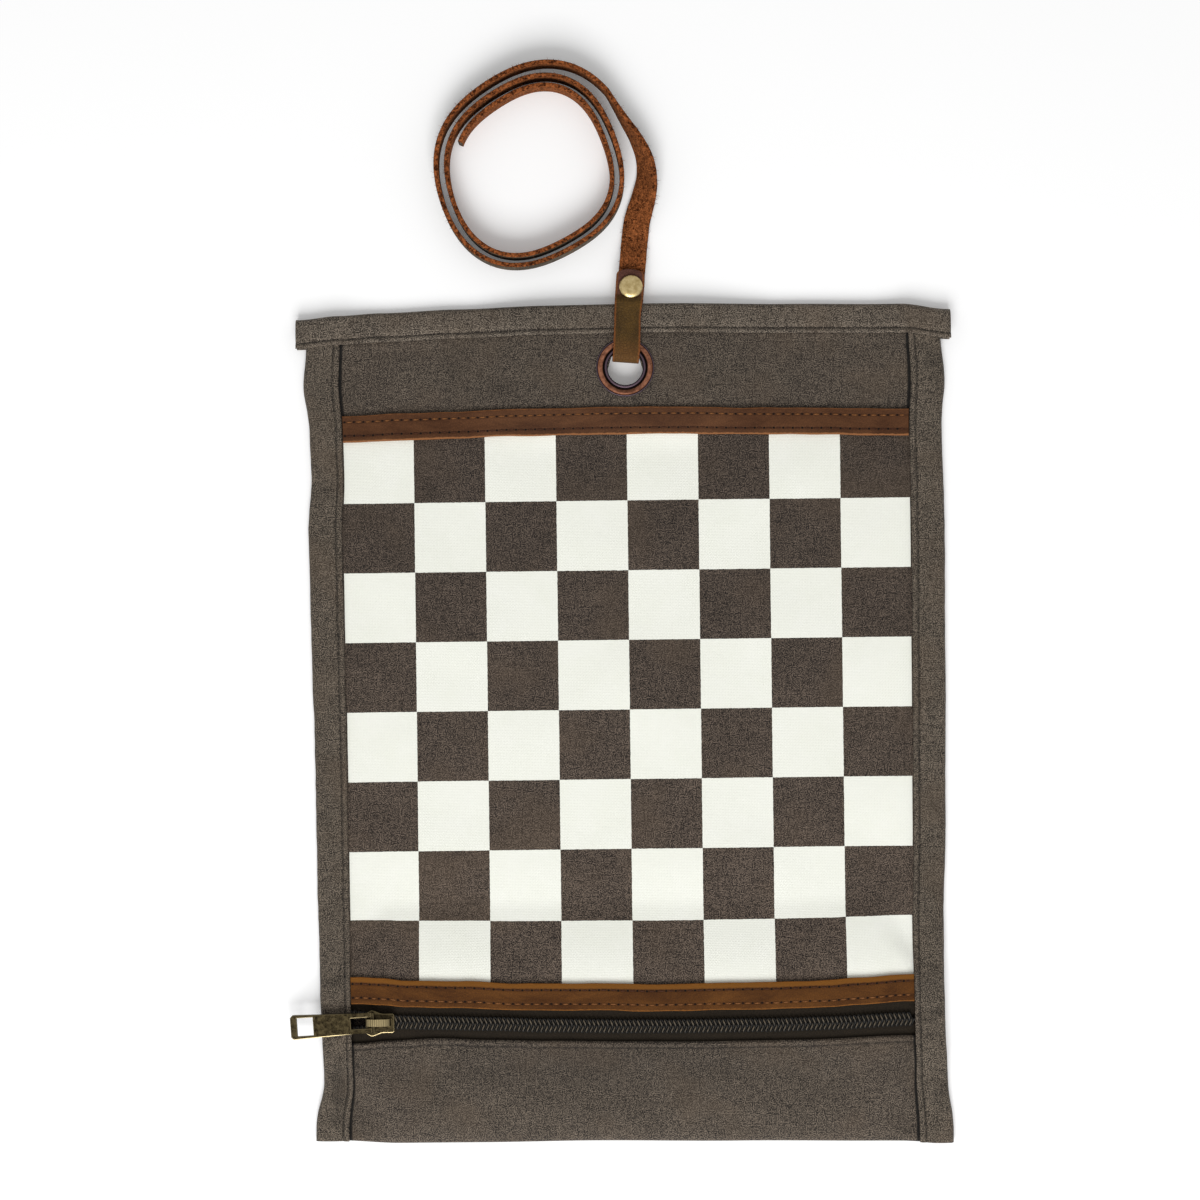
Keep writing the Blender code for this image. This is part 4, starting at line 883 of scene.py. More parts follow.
# Ovals of painted shade over the dents in the bindings.
BINDING_HOLLOW_SHADE = (
    (-105.5, -128, 4.5, 15, 0.38), (-108, -91, 9, 2.2, 0.3), (-106, -141, 5, 4, 0.25), (-110, -106, 6, 5, 0.3),
    (-109, -32, 7, 3, 0.15), (-109, 24, 7, 3, 0.15), (-109, 84, 7, 4, 0.2), (-108, 119, 7, 3, 0.2),
    (109, -104, 8, 2.2, 0.32), (109, -112, 8, 2, 0.2), (109, -134, 5, 8, 0.22), (109, -74, 7, 3, 0.15),
    (109, -12, 7, 3, 0.15), (109, 58, 7, 3, 0.18), (109, 127, 7, 3, 0.25),
)
binding_canvas = canvas(
    "binding_canvas", paint(17, 13, 9), paint(125, 113, 99), rubbed=0.03, seed=0.07, seams=side_rows,
    hollow_shade=BINDING_HOLLOW_SHADE,
)
hem_canvas = canvas(
    "hem_canvas", paint(22, 17, 13), paint(136, 124, 110), rubbed=0.04, seed=0.11,
    seams=[(1, TOP_BINDING_Y + HEM_SEAM)],
)
print("four canvases")

# %% [markdown]
# ## Thread and seams
# A seam is a row of stitches about 3.5 mm long. Each stitch is a short raised dash of thread with a
# small near-black disc at its end, painted shade for the hole where it dives into the cloth. As it
# comes hundreds of times it is one low ball of few faces, drawn out long for the thread and pressed
# flat for the disc of painted shade. Beside a seam the cloth stands a little proud between the
# stitches and its edge.

# %% Sew a row of stitches
THREAD_RADIUS, HOLE_SHADE_RADIUS = 0.29 * MM, 0.46 * MM
STITCH, POCKET_STITCH, CORNER_STITCH = 3.4 * MM, 3.7 * MM, 3.0 * MM
THREAD_SHARE = 0.66


def thread_finish(name, dark, light, hole):
    thread = Finish(name)
    kind, _, _ = thread.parts(thread.add("UVMap", {"uv_map": "stitch"}))
    twist = thread.noise(thread.place(), 0.3 * MM, 2, 0.6)
    # The hole colour is painted shade: it colours the flat disc that stands for the needle hole's shadow.
    colour = thread.blend(kind, thread.blend(twist.eased(0.3, 0.7), dark, light), hole)
    return thread.surface(
        base_color=colour, roughness=0.75 + kind * 0.15, specular_ior_level=0.2,
        normal=thread.bumped(twist, 0.04 * MM),
    )


# Each thread's last colour is the painted shade of its needle holes.
dark_thread = thread_finish("dark_thread", paint(26, 22, 18), paint(58, 52, 45), paint(4, 3, 2))
tan_thread = thread_finish("tan_thread", paint(86, 50, 22), paint(140, 92, 50), paint(22, 8, 2))
brown_thread = thread_finish("brown_thread", paint(40, 18, 8), paint(76, 42, 22), paint(12, 4, 1))


def seam_ridge(inset):
    """How far cloth stands proud beside a seam, by its distance from its cut edge."""
    if inset < 0:
        return 0
    lip = math.sin(math.pi * min(inset / SEAM_INSET, 1)) ** 0.7 * 0.42 * MM
    dip = max(1 - abs(inset - SEAM_INSET) / (0.9 * MM), 0) * 0.16 * MM
    beyond = ramp(inset, SEAM_INSET, 5 * MM) * ramp(inset, 11 * MM, 6 * MM) * 0.3 * MM
    return lip - dip + beyond


def sew(name, points, finish):
    """Stitches between the points, which lie one stitch apart on the upper side of the cloth."""
    mesh = bmesh.new()
    stitch = mesh.loops.layers.uv.new("stitch")
    for i, (start, end) in enumerate(zip(points, points[1:])):
        heading = (end - start).normalized()
        across = Vector((0, 0, 1)).cross(heading).normalized()
        up = heading.cross(across)
        turn = Matrix((heading, across, up)).transposed().to_4x4()
        stray = 0.12 * MM * noise.noise(Vector((i * 1.7, len(points), 0.4)))
        uneven = 1 + 0.25 * noise.noise(Vector((i * 2.3, 4.1, len(points))))
        half = (end - start).length * THREAD_SHARE / 2 * uneven
        thread_at = (start + end) / 2 + across * stray + up * 0.05 * MM
        # The second, flat ball is a disc of painted shade for the needle hole.
        for centre, sizes, hole in (
            (thread_at, (half, THREAD_RADIUS, THREAD_RADIUS * 0.55), 0),
            (start + across * stray + up * 0.03 * MM, (HOLE_SHADE_RADIUS, HOLE_SHADE_RADIUS * 0.85, 0.06 * MM), 1),
        ):
            matrix = Matrix.Translation(centre) @ turn @ Matrix.Diagonal((*sizes, 1))
            ball = bmesh.ops.create_uvsphere(mesh, u_segments=6, v_segments=4, radius=1, matrix=matrix)
            for vert in ball["verts"]:
                for loop in vert.link_loops:
                    loop[stitch].uv = (hole, 0)
    return keep(name, mesh, finish, "mat")


print("threads in three colours")

# %% [markdown]
# ## Back and pocket: one folded sheet
# The back of the mat folds round the lower edge and comes up again as the front of the pocket, so
# it is one sheet of cloth, and is made as one grid: its rows run down the back, round the fold and
# up the pocket. The fold is softer and deeper in the middle than at the pinched side seams.

# %% Fold the back into the pocket
def fold_size(x):
    return mix(POCKET_FOLD, SEAM_FOLD, ramp(abs(x), POCKET_PINCH_X, CLAMP_X))


def folded_row(x, row):
    """A point of the sheet's middle: row is ("back", y), ("fold", share) or ("front", y)."""
    kind, value = row
    fold = fold_size(x)
    fold_z = back_under(x, BOTTOM_Y + fold) + fold
    inner = fold - CLOTH / 2
    if kind == "back":
        y = max(value, BOTTOM_Y + fold)
        return (x, y, back_under(x, y) + CLOTH / 2), y
    if kind == "fold":
        angle = value * math.pi / 2
        height = fold_z - inner * math.cos(angle)
        return (x, BOTTOM_Y + fold - inner * math.sin(angle), height), BOTTOM_Y
    reach = mix(POCKET_ROUND, SEAM_FOLD, ramp(abs(x), POCKET_PINCH_X, CLAMP_X)) - CLOTH / 2
    y = max(value, BOTTOM_Y + CLOTH / 2)
    short = min(max(1 - (y - BOTTOM_Y - CLOTH / 2) / reach, 0), 1)
    height = mix(fold_z + GAP / 2, pocket_under(x, y) + CLOTH / 2, math.sqrt(1 - short * short))
    return (x, y, height), 2 * BOTTOM_Y - y


def pocket_puckers(x, y):
    """The pocket's front sags and puckers a little between its seams."""
    calm = ramp(y, BOTTOM_Y, BOTTOM_Y + 8 * MM) * ramp(y, POCKET_EDGE_Y - 1 * MM, POCKET_EDGE_Y - 14 * MM)
    calm *= ramp(abs(x), 101 * MM, 80 * MM)
    slow = noise.noise(Vector((x / (26 * MM), y / (17 * MM), 8.2)))
    return (slow * 0.9 - 0.25) * MM * calm


back_rows = [("back", y) for y in steps(PANEL_TOP_Y, HILL_FOOT_Y, 1.5 * MM)]
back_rows += [("back", y) for y in steps(HILL_FOOT_Y, BOTTOM_Y + 3 * MM, 3.5 * MM)[1:]]
back_rows += [("back", BOTTOM_Y + POCKET_FOLD)] + [("fold", i / 8) for i in range(1, 9)]
front_rows = [("front", BOTTOM_Y + POCKET_ROUND * (1 - math.cos(i / 14 * math.pi / 2))) for i in range(1, 14)]
front_rows += [("front", y) for y in steps(BOTTOM_Y + POCKET_ROUND, POCKET_EDGE_Y, 1.1 * MM)]


def folded_place(x, row):
    if row[0] == "back":
        x, y = hole_opened(x, row[1])
        row = ("back", y)
    (px, py, pz), flat_y = folded_row(x, row)
    point = laid(px, py, pz)
    if row[0] == "front":
        point.z += pocket_puckers(px, py) + seam_ridge(POCKET_EDGE_Y - py)
    return point, (x, flat_y)


def pocket_stitch(x):
    point, _ = folded_place(x, ("front", POCKET_EDGE_Y - SEAM_INSET))
    return point + Vector((0, 0, CLOTH / 2))


mesh = grid(steps(-PANEL_HALF, PANEL_HALF, 2.2 * MM), back_rows + front_rows, folded_place)
cut_hole(mesh)
folded = thicken(keep("back_and_pocket", mesh, panel_canvas, "mat"), CLOTH)
stitch_points = [pocket_stitch(x) for x in steps(-100 * MM, 100 * MM, POCKET_STITCH)]
pocket_seam = sew("pocket_seam", stitch_points, dark_thread)
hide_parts("back_panel", "pocket_panel")
print(f"folded sheet has {len(folded.data.polygons)} faces")

# %% [markdown]
# ## The board and the top panel
# Two more panels lie on the back: the printed board between the two leather trims, and the plain
# panel above it, through which the eyelet goes. Both are flat grids on the layers' heights. The
# hole for the eyelet is pushed open in the grid by moving its points outwards.

# %% Lay the board and the top panel
def panel_place(x, y):
    px, py = hole_opened(x, y)
    return laid(px, py, front_under(px, py) + CLOTH / 2), (px, py)


def panel(name, low, high, finish, node, cell):
    mesh = grid(steps(-PANEL_HALF, PANEL_HALF, cell), steps(low, high, cell), panel_place)
    cut_hole(mesh)
    piece = thicken(keep(name, mesh, finish, "mat"), CLOTH)
    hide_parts(node)
    return piece


board_low = LOWER_TRIM_Y + 0.8 * MM
board = panel("board", board_low, TRIM_SEAM_Y - GAP, board_canvas, "board_panel", 2.2 * MM)
top =panel("top_panel_cloth", TRIM_SEAM_Y + GAP, PANEL_TOP_Y, panel_canvas, "top_panel", 1.2 * MM)
print(f"board has {len(board.data.polygons)} faces, top panel {len(top.data.polygons)}")

# %% [markdown]
# ## The bindings
# Each long edge is closed by a strip of canvas folded over it, and the upper hem by a third strip
# that laps over both and stands out a little past the sides. A strip is one grid bent into a U:
# front leg, round fold, back leg. Where the stitching draws it down, the cloth puckers.

# %% Bend the bindings over the edges
DENTS = (
    (-106, -127, 3.6, 12, 0.9), (-110, -103, 9, 1.8, 0.25), (-108, -90, 9, 1.4, 0.4), (-109, -141, 7, 2.2, 0.3),
    (-108, -62, 8, 1.6, 0.25), (-109, -33, 8, 2.0, 0.25), (-108, -8, 8, 1.5, 0.2), (-109, 24, 8, 1.8, 0.3),
    (-108, 52, 8, 1.5, 0.2), (-109, 84, 8, 2.0, 0.35), (-108, 118, 8, 1.6, 0.3),
    (109, -137, 6, 3.0, 0.5), (108, -112, 8, 1.5, 0.35), (109, -104, 8, 1.2, 0.4), (109, -98, 8, 1.0, 0.25),
    (109, -74, 8, 2.0, 0.25), (108, -41, 8, 1.5, 0.25), (109, -12, 8, 2.2, 0.2), (108, 21, 8, 1.4, 0.25),
    (109, 58, 8, 1.8, 0.3), (108, 96, 8, 1.6, 0.3), (109, 127, 8, 2.2, 0.4),
)
SIDE_FOLD_X, TOP_FOLD_Y = 110 * MM, 145 * MM
BINDING_CELL, BACK_CELL = 1.7 * MM, 2.8 * MM
FOLD_STEPS = [("fold", i / 12) for i in range(13)]
SEAM_END = 1.5 * MM


def dent(x, y):
    """Hollows where the binding is drawn in: each has a place, two reaches and a depth in millimetres."""
    depth = 0
    for dent_x, dent_y, wide, long, deep in DENTS:
        away = ((x / MM - dent_x) / wide) ** 2 + ((y / MM - dent_y) / long) ** 2
        if away < 6:
            depth += deep * math.exp(-away)
    return depth * MM


def bent(edge, low, high, share):
    """A point of a round fold just inside an edge: its reach and height, from the front to the back."""
    radius = (high - low) / 2
    angle = share * math.pi
    return edge - radius * (1 - math.sin(angle)), low + radius * (1 + math.cos(angle))


def thicken_inwards(piece):
    """Thickness under the grid, whichever way its faces look."""
    top_face = max(piece.data.polygons, key=lambda face: face.center.z)
    return thicken(piece, CLOTH, -1 if top_face.normal.z > 0 else 1)


def side_binding_point(side, step, y):
    kind, value = step
    if kind == "front":
        height = panel_under(value, y) + LAYER + CLOTH + seam_ridge(value - BOARD_HALF)
        return (side * value, y, height - dent(side * value, y) * ramp(value, CLAMP_X - 2 * MM, CLAMP_X))
    if kind == "back":
        return (side * value, y, back_under(value, y) - LAYER)
    high = panel_under(PANEL_HALF, y) + LAYER + CLOTH
    reach, height = bent(MAT_HALF, back_under(PANEL_HALF, y) - LAYER, high, value)
    return (side * reach, y, height)


def side_binding(name, side, node):
    front = steps(BOARD_HALF, CLAMP_X, 0.4 * MM) + steps(CLAMP_X, SIDE_FOLD_X, 1.0 * MM)[1:]
    back = steps(SIDE_FOLD_X, BOARD_HALF, BACK_CELL)
    columns = [("front", x) for x in front] + FOLD_STEPS + [("back", x) for x in back]
    girth = travelled([side_binding_point(1, column, 0) for column in columns])

    def place(i, y):
        kind, value = columns[i]
        point = laid(*side_binding_point(side, columns[i], y))
        if kind == "fold":
            rub = 0.12 * MM * noise.noise(Vector((side * 9, y / (4.2 * MM), value * 3)))
            point.x += side * rub * math.sin(value * math.pi)
        return point, (side * (BOARD_HALF + girth[i]), y)

    mesh = grid(range(len(columns)), steps(BOTTOM_Y, SIDE_BINDING_TOP_Y, BINDING_CELL), place)
    if side < 0:
        bmesh.ops.reverse_faces(mesh, faces=mesh.faces)
    piece = thicken_inwards(keep(name, mesh, binding_canvas, "mat"))
    seam_step = ("front", BOARD_HALF + SEAM_INSET)
    seam_ys = steps(BOTTOM_Y + SEAM_END, TOP_BINDING_Y, STITCH)
    seam_points = [laid(*side_binding_point(side, seam_step, y)) for y in seam_ys]
    seam = sew(name + "_seam", seam_points, dark_thread)
    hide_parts(node)
    return piece


left_edge = side_binding("left_edge_binding", -1, "left_binding")
right_edge = side_binding("right_edge_binding", 1, "right_binding")


def top_binding_point(x, step):
    kind, value = step
    within = min(abs(x), PANEL_HALF)
    corner = LAYER * ramp(abs(x), TAPE_FLAT_X - HEM_RAMP, BOARD_HALF - GAP)
    if kind == "front":
        ridge = seam_ridge((value - TOP_BINDING_Y) * SEAM_INSET / HEM_SEAM) * 0.8
        return (x, value, front_under(within, value) + LAYER + CLOTH + corner + ridge)
    if kind == "back":
        return (x, value, back_under(within, value) - LAYER - corner)
    low = back_under(within, PANEL_TOP_Y) - LAYER - corner
    high = front_under(within, PANEL_TOP_Y) + LAYER + CLOTH + corner
    return (x, *bent(TOP_Y, low, high, value))


def upper_binding():
    rows = [("front", y) for y in steps(TOP_BINDING_Y, TOP_FOLD_Y, 0.45 * MM)] + FOLD_STEPS
    rows += [("back", y) for y in steps(TOP_FOLD_Y, TOP_BINDING_Y, BACK_CELL)]
    girth = travelled([top_binding_point(0, row) for row in rows])

    def place(x, i):
        return laid(*top_binding_point(x, rows[i])), (x, TOP_BINDING_Y + girth[i])

    mesh = grid(steps(-TOP_BINDING_HALF, TOP_BINDING_HALF, BINDING_CELL), range(len(rows)), place)
    piece = thicken_inwards(keep("upper_hem_binding", mesh, hem_canvas, "mat"))
    seam_y, seam_half = TOP_BINDING_Y + HEM_SEAM, TOP_BINDING_HALF - SEAM_END
    routes = {"hem_seam": [(x, seam_y) for x in steps(-seam_half, seam_half, STITCH)]}
    for name, x in (("left_corner_seam", -107.0 * MM), ("right_corner_seam", 106.5 * MM)):
        routes[name] = [(x, y) for y in steps(seam_y, TOP_FOLD_Y, CORNER_STITCH)]
    seams = [
        sew(name, [laid(*top_binding_point(x, ("front", y))) for x, y in route_points], dark_thread)
        for name, route_points in routes.items()
    ]
    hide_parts("top_binding")
    return piece


upper_edge = upper_binding()
print("bindings", [len(piece.data.polygons) for piece in (left_edge, right_edge, upper_edge)])

# %% [markdown]
# ## The leather trims
# Two strips of smooth brown leather, 9.5 mm wide, cover the ends of the board. Leather is stiffer
# than canvas, so a strip lies flatter and its cut edges stay crisp, with a paler line where the
# dye has worn off. Grain is a pattern of small cells with creases between them.

# %% Trim leather
TRIM_WIDTH, TRIM_THICKNESS = 9.5 * MM, 1.2 * MM
TRIM_HALF, TRIM_SEAM_HALF = BOARD_HALF - GAP, 100.5 * MM


def trim_finish(name, dark, light, edge_colour, lip_colour, lip_way, lip_reach):
    """Oiled leather with a paler lip along one long edge, between its cut edge and lip_reach."""
    leather = Finish(name)
    spot = leather.map("cloth")
    _, along, _ = leather.parts(spot)
    fine = leather.noise(spot, 0.4 * MM, 3, 0.7)
    broad = leather.noise(leather.stretched(spot, 0.35, 1), 7 * MM, 4, 0.65, 0.5)
    cells = leather.cells(spot, 0.8 * MM, "DISTANCE_TO_EDGE")
    colour = leather.blend((broad * 0.6 + fine * 0.4).eased(0.3, 0.7), dark, light)
    colour = leather.shaded(colour, cells.eased(0, 0.16) * 0.22 + 0.84)
    ragged = (leather.noise(spot, 1.6 * MM, 3, 0.6) - 0.5) * 0.8 * MM
    lip_edge = TRIM_WIDTH / 2 - lip_reach
    lip = (along * lip_way + ragged).eased(lip_edge, lip_edge + 0.5 * MM)
    colour = leather.blend(lip * 0.8, colour, leather.shaded(lip_colour, fine * 0.5 + 0.75))
    worn = (abs(along) + ragged).eased(TRIM_WIDTH / 2 - 0.5 * MM, TRIM_WIDTH / 2 - 0.05 * MM)
    colour = leather.blend(worn * 0.75, colour, edge_colour)
    # Painted shade: the leather is painted darker in the groove along each stitch line, which the bump also sinks.
    drawn = 1 - abs(abs(along) - TRIM_WIDTH / 2 + SEAM_INSET).eased(0.1 * MM, 0.7 * MM)
    colour = leather.shaded(colour, 1 - drawn * 0.28)
    height = cells.eased(0, 0.2) * 0.35 + fine * 0.25 - drawn * 0.6
    return leather.surface(
        base_color=colour, roughness=0.58 + fine * 0.2 + worn * 0.1, specular_ior_level=0.12,
        normal=leather.bumped(height, 0.09 * MM),
    )


upper_leather = trim_finish(
    "upper_trim_leather", paint(60, 34, 18), paint(96, 62, 38), paint(136, 88, 52), paint(158, 106, 66), -1, 0.8 * MM,
)
lower_leather = trim_finish(
    "lower_trim_leather", paint(56, 28, 4), paint(98, 60, 22), paint(140, 88, 36), paint(118, 74, 22), 1, 1.9 * MM,
)
print("two trim leathers")

# %% Cut the trims
def leather_trim(name, low, finish, node, low_thread, high_thread):
    high = low + TRIM_WIDTH
    middle = (low + high) / 2

    def place(x, y):
        uneven = noise.noise(Vector((x / (9 * MM), y / (3 * MM), 5.5))) * ramp(abs(y - middle), 3 * MM, 4.7 * MM)
        height = front_under(x, y) + LAYER + TRIM_THICKNESS / 2
        return laid(x, y + 0.25 * MM * uneven, height), (x, y - middle)

    for row, y, thread in (("lower", low + SEAM_INSET, low_thread), ("upper", high - SEAM_INSET, high_thread)):
        xs = steps(-TRIM_SEAM_HALF, TRIM_SEAM_HALF, STITCH)
        points = [place(x, y)[0] + Vector((0, 0, TRIM_THICKNESS / 2)) for x in xs]
        sew(f"{name}_{row}_seam", points, thread)

    mesh = grid(steps(-TRIM_HALF, TRIM_HALF, 1.6 * MM), steps(low, high, 0.8 * MM), place)
    piece = thicken(keep(name, mesh, finish, "mat"), TRIM_THICKNESS)
    soft = piece.modifiers.new("cut edges", "BEVEL")
    soft.width = 0.25 * MM
    soft.segments = 2
    soft.limit_method = "ANGLE"
    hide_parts(node)
    return piece


upper_strip = leather_trim("upper_leather_trim", BOARD_HIGH_Y, upper_leather, "upper_trim", brown_thread, tan_thread)
lower_strip = leather_trim("lower_leather_trim", LOWER_TRIM_Y, lower_leather, "lower_trim", tan_thread, brown_thread)
print("trims", len(upper_strip.data.polygons), len(lower_strip.data.polygons))

# %% [markdown]
# ## The zip's tapes
# The zip's two tapes are woven polyester, nearly black, with a fine herringbone. They run from side
# seam to side seam under the lower trim and under the pocket's edge, and only 12 mm shows.

# %% Weave the tapes
TAPE_WIDTH, TAPE_INNER = 12.5 * MM, 1.3 * MM
ZIGZAG, RIB_PITCH = 1.6 * MM, 0.42 * MM


def tape_finish():
    tape = Finish("zip_tape")
    spot = tape.map("cloth")
    across, along, _ = tape.parts(spot)
    slant = (abs((along / ZIGZAG) % 1 - 0.5) * ZIGZAG + across) * (math.pi / RIB_PITCH)
    rib = abs(slant.sine())
    fleck = tape.noise(spot, 0.7 * MM, 3, 0.7)
    dust = tape.noise(spot, 6 * MM, 4, 0.6)
    colour = tape.blend((fleck * 0.6 + rib * 0.4).eased(0.3, 0.8), paint(9, 5, 2), paint(46, 38, 27))
    colour = tape.shaded(colour, dust * 0.6 + 0.7)
    return tape.surface(
        base_color=colour, roughness=0.85, specular_ior_level=0.2,
        normal=tape.bumped(rib * 0.7 + fleck * 0.3, 0.08 * MM),
    )


zip_tape = tape_finish()


def tape(name, side, node):
    near = CHAIN_Y + side * TAPE_INNER
    far = near + side * TAPE_WIDTH

    def place(x, y):
        return laid(x, y, tape_under(x, y) + TAPE / 2), (x, y)

    rows = steps(min(near, far), max(near, far), 1.1 * MM)
    mesh = grid(steps(-PANEL_HALF, PANEL_HALF, 2.0 * MM), rows, place)
    piece = thicken(keep(name, mesh, zip_tape, "mat"), TAPE)
    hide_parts(node)
    return piece


high_tape = tape("upper_tape", 1, "upper_zip_tape")
low_tape = tape("lower_tape", -1, "lower_zip_tape")
print("tapes", len(high_tape.data.polygons), len(low_tape.data.polygons))

# %% [markdown]
# ## The zip's coils
# Each half of the chain is one nylon thread wound into a flat coil, 1.6 mm to the turn, whose
# slanting bends hook between those of the other half. It is a tube along a flattened helix: a long
# grid is rolled round the winding line. Past the slider the two halves part and show their bends
# singly.

# %% Wind the coils
TOOTH_PITCH, ROW_WIDTH, COIL_HEIGHT = 1.6 * MM, 3.1 * MM, 1.6 * MM
CHAIN_HALF = 101.2 * MM
CLOSED_OFFSET, OPEN_OFFSET, SEAM_OFFSET = 1.15 * MM, 2.37 * MM, 2.92 * MM
SHOULDER_X, WAIST_X = -92.93 * MM, -88.69 * MM
WIRE_RADIUS, WIRE_SIDES, BENDS = 0.38 * MM, 6, 12
COIL_LEAN = 0.32


def coil_finish():
    nylon = Finish("zip_coil")
    spot = nylon.place()
    dust = nylon.noise(spot, 2.5 * MM, 3, 0.6)
    fine = nylon.noise(spot, 0.5 * MM, 2, 0.6)
    _, _, height = nylon.parts(spot)
    colour = nylon.blend((dust * 0.5 + fine * 0.5).eased(0.3, 0.7), paint(24, 19, 11), paint(92, 81, 64))
    # Painted light: the tops of the coil's turns are painted bright as a painted highlight, and the lower parts
    # painted dark as painted shade.
    colour = nylon.shaded(colour, height.eased(POCKET_Z + 1.3 * MM, POCKET_Z + 1.6 * MM) * 1.2 + 0.05)
    return nylon.surface(
        base_color=colour, roughness=0.42 + dust * 0.3, specular_ior_level=0.35,
        normal=nylon.bumped(fine, 0.03 * MM),
    )


zip_nylon = coil_finish()


def row_offset(x):
    if x < SHOULDER_X:
        return mix(OPEN_OFFSET, SEAM_OFFSET, ramp(x, SHOULDER_X, -CHAIN_HALF))
    return mix(OPEN_OFFSET, CLOSED_OFFSET, ramp(x, SHOULDER_X, WAIST_X))


def coil(name, side, phase, node):
    """One half of the chain; the halves lie half a turn apart, so that their bends hook."""
    turns = int((2 * CHAIN_HALF - TOOTH_PITCH) / TOOTH_PITCH)
    start = -CHAIN_HALF + (0.25 + phase) * TOOTH_PITCH
    reach, rise = ROW_WIDTH / 2 - WIRE_RADIUS, COIL_HEIGHT / 2 - WIRE_RADIUS

    def middle(i):
        angle = i / BENDS * math.tau
        x = start + i / BENDS * TOOTH_PITCH + 0.12 * TOOTH_PITCH * math.sin(2 * angle)
        hook = math.copysign(abs(math.cos(angle)) ** 0.8, math.cos(angle))
        y = CHAIN_Y + wander(x, CHAIN_Y)[1] + side * (row_offset(x) - reach * hook)
        lean = COIL_LEAN * hook * TOOTH_PITCH
        return Vector((x + lean, y, POCKET_Z + COIL_HEIGHT / 2 + rise * math.sin(angle)))

    def place(i, j):
        heading = (middle(i + 1) - middle(i - 1)).normalized()
        across = heading.cross(Vector((1, 0, 0))).normalized()
        up = across.cross(heading)
        angle = j / WIRE_SIDES * math.tau
        inner = max(math.cos(i / BENDS * math.tau), 0) ** 4
        thick = WIRE_RADIUS * (1 + 0.22 * inner)
        return middle(i) + (across * math.cos(angle) + up * math.sin(angle)) * thick, (i / 100, j / WIRE_SIDES)

    piece = keep(name, tube(turns * BENDS + 1, WIRE_SIDES + 1, place, "winding"), zip_nylon, "mat")
    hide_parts(node)
    return piece


high_coil = coil("upper_coil", 1, 0.0, "upper_zip_coil")
low_coil = coil("lower_coil", -1, 0.5, "lower_zip_coil")
print("coils", len(high_coil.data.polygons), len(low_coil.data.polygons))

# %% [markdown]
# ## Three aged metals
# The slider and its pull are antique brass: dark olive on the flats, rubbed bright along every
# edge, and painted brighter still on the edges that face the lamp, as a painted highlight. The eyelet
# is antique copper with a dark groove, the rivet plain yellow brass. A metal shows what it mirrors, so
# most of its look is its base colour, with fine scratches and a map that says where it is worn and
# where the painted highlight lies.

# %% Antique brass
def aged_metal(name, dark, light, worn_and_highlight_colour, roughness):
    metal = Finish(name)
    spot = metal.place()
    patina = metal.noise(spot, 1.6 * MM, 5, 0.7, 0.5)
    fine = metal.noise(spot, 0.2 * MM, 2, 0.6)
    wear_and_highlight, ribbed, _ = metal.parts(metal.add("UVMap", {"uv_map": "wear_and_highlight"}))
    x, _, _ = metal.parts(spot)
    rib = abs((x * (math.pi / (0.75 * MM))).sine()).eased(0.2, 0.8)
    colour = metal.blend((patina * 0.7 + fine * 0.3).eased(0.38, 0.62), dark, light)
    # The share blends towards the worn colour: real rubbing on the edges plus a painted highlight on the lamp's side.
    share = (wear_and_highlight * 1.2 - patina * 0.45).eased(0.1, 0.8) * (1 - ribbed * (1 - rib) * 0.75)
    colour = metal.blend(share, colour, worn_and_highlight_colour)
    return metal.surface(
        base_color=colour, metallic=1.0, roughness=patina * 0.2 + roughness - share * 0.08,
        normal=metal.bumped(patina * 0.6 + fine * 0.4, 0.025 * MM),
    )


antique_brass = aged_metal("antique_brass", paint(24, 19, 11), paint(74, 65, 45), paint(166, 150, 112), 0.34)
print("antique brass")

# %% [markdown]
# ## Slider and pull
# Both are small castings, tumbled after casting so that no edge is sharp, and then plated. Each is
# a copy of its solid: its flat faces are joined again, each upper face gets a narrow slanting rim,
# and the rims are marked as worn, with a painted highlight added on the side towards the lamp. The
# slider's bridge is ribbed.

# %% Rim the castings' faces
SAME_POINT, SAME_FACE, SHARP = 0.002 * MM, 2 * DEG, 28 * DEG


